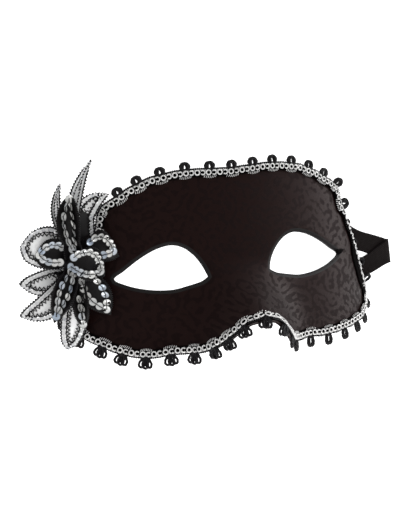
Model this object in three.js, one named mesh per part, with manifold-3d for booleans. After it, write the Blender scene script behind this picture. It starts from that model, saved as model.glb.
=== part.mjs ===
// Venetian half mask with a lace braid, a flat elastic strap and a sewn flower.
// The mask lies face up on the rim of its temples. Millimetres, +Z up.
// X runs to the viewer's right, +Y towards the forehead, +Z out of the face.
// The origin is on the table, under the middle of the mask and its flower together.
import * as THREE from 'three';
import { mergeVertices } from 'three/addons/utils/BufferGeometryUtils.js';
import Module from 'manifold-3d';

const wasm = await Module();
wasm.setup();

// Driving dimensions of the face.
const HALF_WIDTH = 84.6; // half axis of the face's level section, across
const SECTION_RISE = 39.8; // half axis of the same section, front to back
const LEAN = 0.27; // the forehead leans back by this much per millimetre
const TABLE_LEVEL = 17.9; // how far behind the section's centre line the table is
const WALL = 1.6; // fabric, board and lining together
const NOSE_RISE = 40; // growth of the nose ridge down the face
const NOSE_SPREAD = 16.5; // half width of the ridge
const NOSE_RUN = 22; // length of the ridge from the brow to the notch
const NOSE_ROUND = 0.17; // softness of the ridge's start

// Driving dimensions of the trim, strap and flower.
const BRAID_WIDTH = 4.2;
const BRAID_GAP = 0.55;
const BRAID_THICKNESS = 1.1;
const BRAID_INSET = 0.3;
const PICOT_COUNT = 42; // one every 11.7 mm of rim
const PICOT_PHASE = 0.78; // where the first one stands, in steps from the left cheek
const PICOT_REACH = 5.2;
const PICOT_WIDTH = 4.4;
const PICOT_THICKNESS = 0.8;
const PICOT_ROOT = 0.7; // how deep a picot's foot sits in the braid
const STRAP_WIDTH = 10;
const STRAP_THICKNESS = 0.7;
const STRAP_LEVEL = 0.6; // middle of the strap above the table
const PETAL_THICKNESS = 0.6;
const FLOWER_HEART = { x: -77.8, y: 5, z: 8.4 }; // where the petals are sewn together

// Everything below is placed from the middle of the face at eye height, which is here.
const FACE_MIDDLE = { x: 10.33, y: -3.35 };

// Grid of the shell: half columns and rows.
const HALF_COLUMNS = 25;
const ROWS = 16;

const rad = THREE.MathUtils.degToRad;
const vec = (x, y, z) => new THREE.Vector3(x, y, z);

// A smooth line through a few stations that never overshoots between them.
function through(stations) {
  const x = stations.map((s) => s[0]);
  const y = stations.map((s) => s[1]);
  const slope = x.slice(1).map((v, i) => (y[i + 1] - y[i]) / (v - x[i]));
  const tangent = x.map((_, i) => {
    if (i === 0) return slope[0];
    if (i === x.length - 1) return slope[i - 1];
    const a = slope[i - 1];
    const b = slope[i];
    return a * b <= 0 ? 0 : (2 * a * b) / (a + b);
  });
  return (at) => {
    const q = Math.min(Math.max(at, x[0]), x[x.length - 1]);
    let i = 0;
    while (i < x.length - 2 && q > x[i + 1]) i += 1;
    const h = x[i + 1] - x[i];
    const w = (q - x[i]) / h;
    const w2 = w * w;
    const w3 = w2 * w;
    return (2 * w3 - 3 * w2 + 1) * y[i] + (w3 - 2 * w2 + w) * h * tangent[i]
      + (3 * w2 - 2 * w3) * y[i + 1] + (w3 - w2) * h * tangent[i + 1];
  };
}

// Outline of the face: height against the angle round the section, in degrees.
const CORNER_TOP = 48.8;
const CORNER_BOTTOM = 70.5;
const CORNER_LOW = -38;
const CORNER_HIGH = 28.3;
const LEFT_CHEEK_LIFT = 8; // the left cheek's edge climbs more towards its temple
const browEdge = through([[0, 44.1], [14, 44.7], [26, 42.5], [36, 37.4], [43, 32.3],
  [CORNER_TOP, CORNER_HIGH]]);
const cheekEdge = through([[0, -21.1], [4.4, -23.1], [8.2, -28.2], [11.2, -33.7], [14.5, -38.8],
  [18, -41], [24, -41.6], [34, -43], [43, -42.9], [52, -42.2], [61, -41.2], [CORNER_BOTTOM, CORNER_LOW]]);
// Angle of the temple's edge against height. It touches the table at two feet.
const templeEdge = through([[CORNER_LOW, CORNER_BOTTOM], [-35, 73.6], [-31.5, 75], [-28, 75], [-25, 72.6],
  [-22, 69], [-17, 66.5], [-10, 63.2], [-3, 60], [2, 57.8], [8, 55], [15, 52.7], [22, 51], [26, 50],
  [CORNER_HIGH, CORNER_TOP]]);

// The outer surface of the face, by angle round the section and height.
function facePoint(angle, y) {
  const t = rad(angle);
  const x = HALF_WIDTH * Math.sin(t);
  const run = Math.min(Math.max(-y / NOSE_RUN, 0), 1.6);
  const ridge = NOSE_RISE * (Math.sqrt(run * run + NOSE_ROUND) - Math.sqrt(NOSE_ROUND))
    * Math.exp(-((x / NOSE_SPREAD) ** 2));
  return vec(x, y, SECTION_RISE * Math.cos(t) - LEAN * y + ridge - TABLE_LEVEL);
}
function faceSlopes(angle, y) {
  const d = 0.05;
  return {
    across: facePoint(angle + d, y).sub(facePoint(angle - d, y)).divideScalar(2 * d),
    up: facePoint(angle, y + d).sub(facePoint(angle, y - d)).divideScalar(2 * d),
  };
}
function faceNormal(angle, y) {
  const { across, up } = faceSlopes(angle, y);
  return across.cross(up).normalize();
}
const above = (angle, y, lift) => facePoint(angle, y).addScaledVector(faceNormal(angle, y), lift);

// Place on the face for u from -1 to 1 across and v from 0 to 1 up.
function place(u, v) {
  const side = Math.abs(u);
  const lift = u < 0 ? LEFT_CHEEK_LIFT * THREE.MathUtils.smoothstep(side, 0.45, 0.97) : 0;
  const low = u < 0 ? CORNER_LOW + LEFT_CHEEK_LIFT : CORNER_LOW;
  const edge = templeEdge(THREE.MathUtils.lerp(low, CORNER_HIGH, v));
  const y = THREE.MathUtils.lerp(cheekEdge(side * CORNER_BOTTOM) + lift, browEdge(side * CORNER_TOP), v);
  return { angle: u * edge, y };
}

// Closed body from an index list, turned so that its faces point out.
function body(points, faces) {
  let volume = 0;
  for (const [a, b, c] of faces) {
    volume += points[a].dot(points[b].clone().cross(points[c])) / 6;
  }
  const turned = volume < 0 ? faces.map(([a, b, c]) => [a, c, b]) : faces;
  const geometry = new THREE.BufferGeometry();
  geometry.setFromPoints(points);
  geometry.setIndex(turned.flat());
  return geometry;
}

// Thin sheet between a front and a back grid, closed round its edge.
function sheet(columns, rows, front, back) {
  const points = [];
  for (const side of [front, back]) {
    for (let j = 0; j <= rows; j += 1) {
      for (let i = 0; i <= columns; i += 1) points.push(side(i, j));
    }
  }
  const size = (columns + 1) * (rows + 1);
  const at = (k, i, j) => k * size + j * (columns + 1) + i;
  const faces = [];
  for (let j = 0; j < rows; j += 1) {
    for (let i = 0; i < columns; i += 1) {
      const [p, q] = [at(0, i, j), at(0, i + 1, j + 1)];
      const [r, t] = [at(1, i, j), at(1, i + 1, j + 1)];
      faces.push([p, at(0, i + 1, j), q], [p, q, at(0, i, j + 1)]);
      faces.push([r, t, at(1, i + 1, j)], [r, at(1, i, j + 1), t]);
    }
  }
  const wall = (i0, j0, i1, j1) => faces.push([at(0, i0, j0), at(1, i1, j1), at(0, i1, j1)],
    [at(0, i0, j0), at(1, i0, j0), at(1, i1, j1)]);
  for (let i = 0; i < columns; i += 1) {
    wall(i, 0, i + 1, 0);
    wall(i + 1, rows, i, rows);
  }
  for (let j = 0; j < rows; j += 1) {
    wall(columns, j, columns, j + 1);
    wall(0, j + 1, 0, j);
  }
  return body(points, faces);
}

// Tube through equal cross-sections, closed into a ring or capped at both ends.
function tube(sections, ring) {
  const n = sections[0].length;
  const points = sections.flat();
  const faces = [];
  const last = ring ? sections.length : sections.length - 1;
  for (let k = 0; k < last; k += 1) {
    const next = (k + 1) % sections.length;
    for (let i = 0; i < n; i += 1) {
      const j = (i + 1) % n;
      faces.push([k * n + i, k * n + j, next * n + j], [k * n + i, next * n + j, next * n + i]);
    }
  }
  if (!ring) {
    const end = (sections.length - 1) * n;
    for (let i = 1; i < n - 1; i += 1) faces.push([0, i + 1, i], [end, end + i, end + i + 1]);
  }
  return body(points, faces);
}

// To and from the solids that take part in a cut or a join.
function solid(geometry) {
  return new wasm.Manifold(new wasm.Mesh({
    numProp: 3,
    vertProperties: new Float32Array(geometry.attributes.position.array),
    triVerts: new Uint32Array(geometry.index.array),
  }));
}
function surface(shape) {
  const mesh = shape.getMesh();
  const geometry = new THREE.BufferGeometry();
  geometry.setAttribute('position', new THREE.BufferAttribute(new Float32Array(mesh.vertProperties), 3));
  geometry.setIndex(Array.from(mesh.triVerts));
  return geometry;
}
// An outline extruded from one height to another, with its doubled vertices joined.
function prism(outline, low, high) {
  const shape = new THREE.Shape(outline);
  const block = new THREE.ExtrudeGeometry(shape, { depth: high - low, bevelEnabled: false });
  block.translate(0, 0, low);
  block.deleteAttribute('normal');
  block.deleteAttribute('uv');
  return mergeVertices(block, 1e-4);
}

const part = new THREE.Group();
part.position.set(FACE_MIDDLE.x, FACE_MIDDLE.y, 0);
function add(name, geometry, color, roughness, metalness = 0) {
  geometry.computeVertexNormals();
  const mesh = new THREE.Mesh(geometry, new THREE.MeshStandardMaterial({ color, roughness, metalness }));
  mesh.name = name;
  part.add(mesh);
}

// Column positions, closer together over the nose.
const columnAt = (i) => {
  const w = (i - HALF_COLUMNS) / HALF_COLUMNS;
  return w * (0.72 + 0.28 * w * w);
};

// The shell: an even wall behind the face, with the feet cut flat.
const shellSide = (lift) => (i, j) => {
  const { angle, y } = place(columnAt(i), j / ROWS);
  return above(angle, y, lift);
};
let shell = solid(sheet(2 * HALF_COLUMNS, ROWS, shellSide(0), shellSide(-WALL)));

// Almond eye openings: the outline of the right one, the left one mirrored.
const EYE = [[16.7, -5.6], [18.4, -1.2], [22, 4], [27, 8], [32.5, 9.5], [38.5, 8.5], [44, 6.2], [50, 2.6],
  [56, -1.9], [60.8, -5.7], [56, -8.3], [49.5, -10.1], [42, -11.1], [34, -11.1], [26.5, -9.5], [20.3, -7.7]];
for (const side of [1, -1]) {
  const line = new THREE.SplineCurve([...EYE, EYE[0]].map(([x, y]) => new THREE.Vector2(side * x, y)));
  const outline = line.getPoints(48).slice(0, -1);
  shell = shell.subtract(solid(prism(outline, -5, 70)));
}
const floorCut = [[-120, -80], [120, -80], [120, 80], [-120, 80]].map(([x, y]) => new THREE.Vector2(x, y));
shell = shell.subtract(solid(prism(floorCut, -20, 0)));
add('mask_shell', surface(shell), 0x17131a, 0.55);

// The rim as a closed run of places, counter-clockwise as seen from the front.
const rim = [];
for (let i = 0; i < 2 * HALF_COLUMNS; i += 1) rim.push(place(columnAt(i), 0));
for (let j = 0; j < ROWS; j += 1) rim.push(place(1, j / ROWS));
for (let i = 2 * HALF_COLUMNS; i > 0; i -= 1) rim.push(place(columnAt(i), 1));
for (let j = ROWS; j > 0; j -= 1) rim.push(place(-1, j / ROWS));

// Directions on the face at one place of the rim: along it and inward from it.
const rimPoints = rim.map(({ angle, y }) => facePoint(angle, y));
const rimFrames = rim.map(({ angle, y }, k) => {
  const n = rim.length;
  const before = rimPoints[(k + n - 1) % n];
  const after = rimPoints[(k + 1) % n];
  const normal = faceNormal(angle, y);
  const along = after.clone().sub(before).normalize();
  const inward = normal.clone().cross(along).normalize();
  return { angle, y, point: rimPoints[k], normal, along, inward };
});
// A place on the face at a distance inward from the rim, then lifted off it.
function onBraid(frame, inset, lift) {
  const { across, up } = faceSlopes(frame.angle, frame.y);
  const aa = across.dot(across);
  const ab = across.dot(up);
  const bb = up.dot(up);
  const pa = across.dot(frame.inward);
  const pb = up.dot(frame.inward);
  const det = aa * bb - ab * ab;
  const da = (pa * bb - pb * ab) / det;
  const db = (pb * aa - pa * ab) / det;
  return above(frame.angle + da * inset, frame.y + db * inset, lift);
}
// Near the feet the braid keeps clear of the table.
const insetOf = (frame) => {
  const drop = Math.max(0.15, -frame.inward.clone().negate().z);
  return Math.max(BRAID_INSET, (0.7 - frame.point.z) / drop);
};
const braidBand = rimFrames.map((frame) => {
  const near = insetOf(frame);
  const far = near + BRAID_WIDTH;
  return [onBraid(frame, near, BRAID_GAP), onBraid(frame, far, BRAID_GAP),
    onBraid(frame, far, BRAID_GAP + BRAID_THICKNESS), onBraid(frame, near, BRAID_GAP + BRAID_THICKNESS)];
});
let braid = solid(tube(braidBand, true));

// Picots: small flat loops at even steps, standing outward from the braid.
const steps = rimPoints.map((p, k) => p.distanceTo(rimPoints[(k + 1) % rimPoints.length]));
const rimLength = steps.reduce((sum, s) => sum + s, 0);
const PICOT_OUTLINE = [[-0.22, 0], [-0.5, 0.55], [-0.3, 0.93], [0.3, 0.93], [0.5, 0.55], [0.22, 0]];
for (let k = 0; k < PICOT_COUNT; k += 1) {
  let along = ((k + PICOT_PHASE) / PICOT_COUNT) * rimLength;
  let i = 0;
  while (along > steps[i]) {
    along -= steps[i];
    i += 1;
  }
  const frame = rimFrames[along > steps[i] / 2 ? (i + 1) % rim.length : i];
  const inset = insetOf(frame) + PICOT_ROOT;
  const foot = onBraid(frame, inset, BRAID_GAP + BRAID_THICKNESS / 2);
  const out = frame.inward.clone().negate();
  const length = PICOT_REACH + PICOT_ROOT;
  out.z = Math.max(out.z, (3.2 - foot.z) / length);
  out.normalize();
  const side = frame.along.clone().addScaledVector(out, -frame.along.dot(out)).normalize();
  const flat = side.clone().cross(out);
  const outline = PICOT_OUTLINE.map(([x, y]) => new THREE.Vector2(x * PICOT_WIDTH, y * length));
  const loop = prism(outline, -PICOT_THICKNESS / 2, PICOT_THICKNESS / 2);
  loop.applyMatrix4(new THREE.Matrix4().makeBasis(side, out, flat).setPosition(foot));
  braid = braid.add(solid(loop));
}
add('edge_braid', surface(braid), 0x6f7076, 0.45, 0.3);

// The strap: a flat band glued behind both temples, lying on the table between.
// Behind a temple it follows the inside of the shell.
const strapBack = WALL + 0.5 + STRAP_THICKNESS / 2;
const glued = (angle, y) => ({
  a: above(angle, y + STRAP_WIDTH / 2, -strapBack),
  b: above(angle, y - STRAP_WIDTH / 2, -strapBack),
});
const lying = (x, y, turn, half = STRAP_WIDTH / 2, z = STRAP_LEVEL) => ({
  a: vec(x - half * Math.sin(rad(turn)), y + half * Math.cos(rad(turn)), z),
  b: vec(x + half * Math.sin(rad(turn)), y - half * Math.cos(rad(turn)), z),
});
const strapStations = [
  glued(50, -17), glued(55, -17), glued(60, -17), glued(64, -17),
  lying(75.5, -17.4, 2), lying(79, -17.6, 8), lying(84, -16.6, 24, 5.2, 0.8), lying(90.6, -12.8, 24, 5.6, 1.45),
  lying(94.8, -10.7, 12, 6.2, 1.65), lying(96.1, -10.4, 8, 6.5, 1.1), lying(94.8, -10.2, 4, 6.2, 0.55),
  lying(89.6, -7.8, -22, 5.4), lying(83, -5, -20), lying(78, -3.2, -20), lying(72, 0, -32),
  lying(65.5, 5, -38), lying(58, 10.6, -34), lying(48, 16.2, -25), lying(36, 20.3, -13), lying(22, 22, -2),
  lying(6, 22, 0), lying(-12, 22, 1), lying(-28, 21, 7), lying(-42, 18, 14), lying(-52, 14.6, 16),
  lying(-58.5, 12.4, 14, 5, 1.5), glued(-48, 10.6), glued(-44, 10.4), glued(-39, 10.3),
];
const middle = (s) => s.a.clone().add(s.b).multiplyScalar(0.5);
const strapSections = strapStations.map((s, k) => {
  const before = middle(strapStations[Math.max(k - 1, 0)]);
  const after = middle(strapStations[Math.min(k + 1, strapStations.length - 1)]);
  const along = after.sub(before).normalize();
  const half = along.cross(s.a.clone().sub(s.b)).normalize().multiplyScalar(STRAP_THICKNESS / 2);
  return [s.a.clone().add(half), s.b.clone().add(half), s.b.clone().sub(half), s.a.clone().sub(half)];
});
add('elastic_strap', tube(strapSections, false), 0x0c0c0e, 0.8);

// Petals: thin cupped leaves on a curved midline from the flower's heart to a free tip.
// Each leaves the heart in its own direction, on its own level of the pile.
const FACING = vec(-0.36, 0.1, 0.93).normalize();
const heart = vec(FLOWER_HEART.x, FLOWER_HEART.y, FLOWER_HEART.z);
function leaf({ level, mid, tip, width, start = 3, fullness = 0.8, cup = 1, base = 1 }) {
  const towards = mid.clone().sub(heart);
  towards.addScaledVector(FACING, -towards.dot(FACING)).normalize();
  const root = heart.clone().addScaledVector(FACING, level).addScaledVector(towards, start);
  const bend = mid.clone().multiplyScalar(2).addScaledVector(root.clone().add(tip), -0.5);
  const line = new THREE.QuadraticBezierCurve3(root, bend, tip);
  const side = tip.clone().sub(root).cross(FACING).normalize();
  const lengthSteps = 8;
  const widthSteps = 4;
  const spot = (lift) => (i, j) => {
    const s = j / lengthSteps;
    const w = (2 * i) / widthSteps - 1;
    const swell = (width / 2) * Math.sin(Math.PI * s) ** fullness;
    const half = Math.max(swell, THREE.MathUtils.lerp(base, 0.3, s));
    const normal = side.clone().cross(line.getTangent(s)).normalize();
    return line.getPoint(s).addScaledVector(side, half * w)
      .addScaledVector(normal, lift + cup * ((2 * half) / width) * w * w);
  };
  return sheet(widthSteps, lengthSteps, spot(PETAL_THICKNESS / 2), spot(-PETAL_THICKNESS / 2));
}
const outerPetals = {
  left: {
    level: -1.5, mid: vec(-92.4, 12.8, 8), tip: vec(-104.3, 13, 3.6), width: 20.5, fullness: 0.5, cup: 0.6,
  },
  lower_left: {
    level: -0.6, start: 6, mid: vec(-93.2, -4.6, 7.2), tip: vec(-105.7, -4.8, 3.8),
    width: 12.5, fullness: 0.65, cup: 0.2,
  },
  lower_left_long: {
    level: 1.6, mid: vec(-92.7, -14, 11), tip: vec(-106.8, -19.6, 7), width: 12.5, fullness: 0.65, cup: 0.6,
  },
  lower: {
    level: -1.2, mid: vec(-80.4, -23.2, 9.4), tip: vec(-83.3, -39.4, 6), width: 12.5, fullness: 0.55, cup: 0.6,
  },
  upper_narrow: { level: 1.2, mid: vec(-88.4, 28.3, 12), tip: vec(-85.7, 43.5, 10.5), width: 5 },
  upper_tall: { level: -0.2, mid: vec(-79.2, 32.3, 9.8), tip: vec(-70.3, 53.7, 10.5), width: 6.5 },
  upper_curling: {
    level: -1.4, mid: vec(-73, 29, 8.6), tip: vec(-62.1, 36.1, 10), width: 10, fullness: 0.7, cup: 0.6,
  },
};
for (const [name, shape] of Object.entries(outerPetals)) {
  add(`outer_petal_${name}`, leaf(shape), 0xd9dadd, 0.5);
}
const innerPetals = {
  left: { level: 2.6, base: 1.6, mid: vec(-90.7, 10.6, 11.5), tip: vec(-97.4, 9.6, 8.5), width: 11 },
  upper: { level: 4.2, base: 1.6, mid: vec(-83.8, 25.8, 15), tip: vec(-82.4, 37.8, 14), width: 8 },
  upper_right: { level: 2, base: 1.2, mid: vec(-68.4, 12.2, 12.4), tip: vec(-59.6, 7.6, 11.5), width: 11.5 },
  lower_right: {
    level: 4.7, base: 1.2, start: 4.5, mid: vec(-72.3, -8.4, 16), tip: vec(-66.2, -19, 17.8), width: 10.5,
  },
  lower_small: { level: 2, start: 4, mid: vec(-78.1, -13.9, 13), tip: vec(-76.9, -26.1, 12.4), width: 5 },
  lower: {
    level: 4.8, base: 1.2, mid: vec(-86.6, -6.8, 15.6), tip: vec(-91.5, -20.9, 14.4), width: 8, cup: 0.8,
  },
  centre: {
    level: 6.6, base: 2.6, start: -3.5, mid: vec(-76.1, 5.9, 16.6), tip: vec(-68.4, 0.1, 15.2), width: 11.5,
  },
};
for (const [name, shape] of Object.entries(innerPetals)) {
  add(`inner_petal_${name}`, leaf(shape), 0x18181b, 0.6);
}

export default part;
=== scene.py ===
"""Venetian half mask: black brocade face, looped lace braid, sequined flower and elastic strap.

Lengths inside the classes are millimetres. They are counted from the middle of the face at eye
height, on the table, with +X to the viewer's right, +Y to the forehead and +Z out of the face.
MeshDraft.build moves them into the part's own frame, in metres.
"""

import logging
import math
from collections.abc import Sequence
from dataclasses import dataclass, field
from enum import Enum

import bpy
import numpy as np
from mathutils import Matrix, Vector
from mathutils.geometry import delaunay_2d_cdt

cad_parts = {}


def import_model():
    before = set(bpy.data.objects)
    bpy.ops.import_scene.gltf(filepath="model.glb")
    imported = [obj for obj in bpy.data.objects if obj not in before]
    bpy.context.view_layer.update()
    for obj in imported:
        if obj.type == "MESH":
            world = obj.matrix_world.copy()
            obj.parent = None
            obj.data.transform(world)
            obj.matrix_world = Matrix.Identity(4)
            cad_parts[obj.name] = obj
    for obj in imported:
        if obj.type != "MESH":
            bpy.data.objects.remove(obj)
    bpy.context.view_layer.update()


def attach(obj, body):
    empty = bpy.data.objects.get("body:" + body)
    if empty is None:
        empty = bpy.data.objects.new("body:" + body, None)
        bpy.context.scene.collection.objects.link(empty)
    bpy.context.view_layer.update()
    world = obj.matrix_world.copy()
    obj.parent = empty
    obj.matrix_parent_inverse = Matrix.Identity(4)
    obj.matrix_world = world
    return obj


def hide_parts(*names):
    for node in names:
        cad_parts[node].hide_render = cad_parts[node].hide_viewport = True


LOG = logging.getLogger("mask")
METRE = 0.001
FACE_MIDDLE = np.array([10.33, -3.35, 0.0])


def unit(v: np.ndarray) -> np.ndarray:
    """Vectors scaled to length one.

    Args:
        v: One vector or rows of vectors.

    Returns:
        The same directions with length one.
    """
    return v / np.maximum(np.linalg.norm(v, axis=-1, keepdims=True), 1e-12)


def smoothstep(x: np.ndarray, low: float, high: float) -> np.ndarray:
    """Smooth ramp from 0 at low to 1 at high."""
    t = np.clip((x - low) / (high - low), 0.0, 1.0)
    return t * t * (3.0 - 2.0 * t)


def spline(points: np.ndarray, steps: int) -> np.ndarray:
    """Catmull-Rom curve through points.

    Args:
        points: Rows of stations.
        steps: Samples for each stretch between two stations.

    Returns:
        The samples, with both end stations.
    """
    p = np.vstack([points[0], points, points[-1]])
    rows = []
    for k in range(len(points) - 1):
        a, b, c, d = p[k : k + 4]
        for t in np.linspace(0.0, 1.0, steps, endpoint=False):
            rows.append(
                0.5 * (2 * b + (c - a) * t + (2 * a - 5 * b + 4 * c - d) * t**2
                       + (3 * b - a - 3 * c + d) * t**3)
            )
    rows.append(points[-1])
    return np.array(rows)


def lengths_along(path: np.ndarray) -> np.ndarray:
    """Distance from the start of a path to each of its points."""
    return np.concatenate([[0.0], np.cumsum(np.linalg.norm(np.diff(path, axis=0), axis=1))])


def walk(path: np.ndarray, at: np.ndarray) -> np.ndarray:
    """Points at given distances along a path.

    Args:
        path: Rows of points.
        at: Distances from the start.

    Returns:
        One row for each distance.
    """
    along = lengths_along(path)
    return np.stack([np.interp(at, along, path[:, k]) for k in range(path.shape[1])], axis=1)


class Line:
    """A smooth line through a few stations that never overshoots between them."""

    def __init__(self, stations: Sequence[tuple[float, float]]) -> None:
        """Works out the slopes at the stations.

        Args:
            stations: Place and height of each station, in rising order.
        """
        self.x = np.array([s[0] for s in stations], float)
        self.y = np.array([s[1] for s in stations], float)
        slope = np.diff(self.y) / np.diff(self.x)
        a, b = slope[:-1], slope[1:]
        total = np.where(np.abs(a + b) < 1e-9, 1.0, a + b)
        inner = np.where(a * b <= 0, 0.0, 2 * a * b / total)
        self.tangent = np.concatenate([slope[:1], inner, slope[-1:]])

    def __call__(self, at: np.ndarray) -> np.ndarray:
        """Height of the line.

        Args:
            at: Places to read it at.

        Returns:
            One height for each place, held level past both ends.
        """
        x, y, tangent = self.x, self.y, self.tangent
        q = np.clip(at, x[0], x[-1])
        i = np.clip(np.searchsorted(x, q, side="left") - 1, 0, len(x) - 2)
        h = x[i + 1] - x[i]
        w = (q - x[i]) / h
        return (
            (2 * w**3 - 3 * w**2 + 1) * y[i] + (w**3 - 2 * w**2 + w) * h * tangent[i]
            + (3 * w**2 - 2 * w**3) * y[i + 1] + (w**3 - w**2) * h * tangent[i + 1]
        )


@dataclass(frozen=True)
class FaceForm:
    """The curved face, by angle round its level section in degrees and by height."""

    half_width: float = 84.6
    section_rise: float = 39.8
    lean: float = 0.27
    table_level: float = 17.9
    wall: float = 1.6
    nose_rise: float = 40.0
    nose_spread: float = 16.5
    nose_run: float = 22.0
    nose_round: float = 0.17
    nose_end: float = 1.6
    nose_blend: float = 1.6
    blend_shares: tuple[int, ...] = (1, 2, 3, 4, 3, 2, 1)
    corner_top: float = 48.8
    corner_bottom: float = 70.5
    corner_low: float = -38.0
    corner_high: float = 28.3
    left_cheek_lift: float = 8.0
    lift_from: float = 0.45
    lift_full: float = 0.97
    brow: Line = field(default_factory=lambda: Line([
        (0, 44.1), (14, 44.7), (26, 42.5), (36, 37.4), (43, 32.3), (48.8, 28.3)]))
    cheek: Line = field(default_factory=lambda: Line([
        (0, -21.1), (4.4, -23.1), (8.2, -28.2), (11.2, -33.7), (14.5, -38.8), (18, -41), (24, -41.6),
        (34, -43), (43, -42.9), (52, -42.2), (61, -41.2), (70.5, -38)]))
    temple: Line = field(default_factory=lambda: Line([
        (-38, 70.5), (-35, 73.6), (-31.5, 75), (-28, 75), (-25, 72.6), (-22, 69), (-17, 66.5),
        (-10, 63.2), (-3, 60), (2, 57.8), (8, 55), (15, 52.7), (22, 51), (26, 50), (28.3, 48.8)]))

    def point(self, angle: np.ndarray, y: np.ndarray) -> np.ndarray:
        """Points of the outer surface.

        Args:
            angle: Angles round the level section, in degrees.
            y: Heights.

        Returns:
            One point for each pair.
        """
        angle, y = np.asarray(angle, float), np.asarray(y, float)
        t = np.radians(angle)
        x = self.half_width * np.sin(t)
        growth = 0.0
        whole = sum(self.blend_shares)
        for k, share in enumerate(self.blend_shares, start=-(len(self.blend_shares) // 2)):
            run = np.clip((k * self.nose_blend - y) / self.nose_run, 0.0, self.nose_end)
            rise = np.sqrt(run**2 + self.nose_round) - math.sqrt(self.nose_round)
            growth = growth + share / whole * rise
        ridge = self.nose_rise * growth * np.exp(-((x / self.nose_spread) ** 2))
        z = self.section_rise * np.cos(t) - self.lean * y + ridge - self.table_level
        return np.stack([x, y + 0 * x, z], axis=-1)

    def slopes(self, angle: np.ndarray, y: np.ndarray) -> tuple[np.ndarray, np.ndarray]:
        """How the surface point changes.

        Args:
            angle: Angles round the level section, in degrees.
            y: Heights.

        Returns:
            The change for each degree and the change for each millimetre of height.
        """
        step = 0.05
        across = (self.point(angle + step, y) - self.point(angle - step, y)) / (2 * step)
        up = (self.point(angle, y + step) - self.point(angle, y - step)) / (2 * step)
        return across, up

    def normal(self, angle: np.ndarray, y: np.ndarray) -> np.ndarray:
        """Directions straight out of the face."""
        across, up = self.slopes(angle, y)
        return unit(np.cross(across, up))

    def above(self, angle: np.ndarray, y: np.ndarray, lift: float | np.ndarray) -> np.ndarray:
        """Points lifted off the outer surface, or sunk below it when lift is negative."""
        lift = np.asarray(lift, float)[..., None]
        return self.point(angle, y) + self.normal(angle, y) * lift

    def place(self, u: np.ndarray, v: np.ndarray) -> tuple[np.ndarray, np.ndarray]:
        """Places spread evenly over the face.

        Args:
            u: From -1 at the left edge to 1 at the right one.
            v: From 0 at the cheek's edge to 1 at the brow's.

        Returns:
            Angles and heights.
        """
        side = np.abs(u)
        lift = np.where(u < 0, self.left_cheek_lift * smoothstep(side, self.lift_from, self.lift_full), 0.0)
        low = np.where(u < 0, self.corner_low + self.left_cheek_lift, self.corner_low)
        edge = self.temple(low + (self.corner_high - low) * v)
        bottom = self.cheek(side * self.corner_bottom) + lift
        top = self.brow(side * self.corner_top)
        return u * edge, bottom + (top - bottom) * v

    def edge(self, run: np.ndarray, short: np.ndarray) -> tuple[np.ndarray, np.ndarray]:
        """The whole edge as one closed run, counter-clockwise as the viewer sees it.

        Args:
            run: Steps from 0 to 1 along the cheek's edge, and back along the brow's.
            short: Steps from 0 to 1 up the right temple, and down the left one.

        Returns:
            Angles and heights.
        """
        one = np.ones(len(short))
        u = np.concatenate([2 * run - 1, one, 1 - 2 * run, -one])
        v = np.concatenate([0 * run, short, 0 * run + 1, 1 - short])
        return self.place(u, v)


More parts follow.
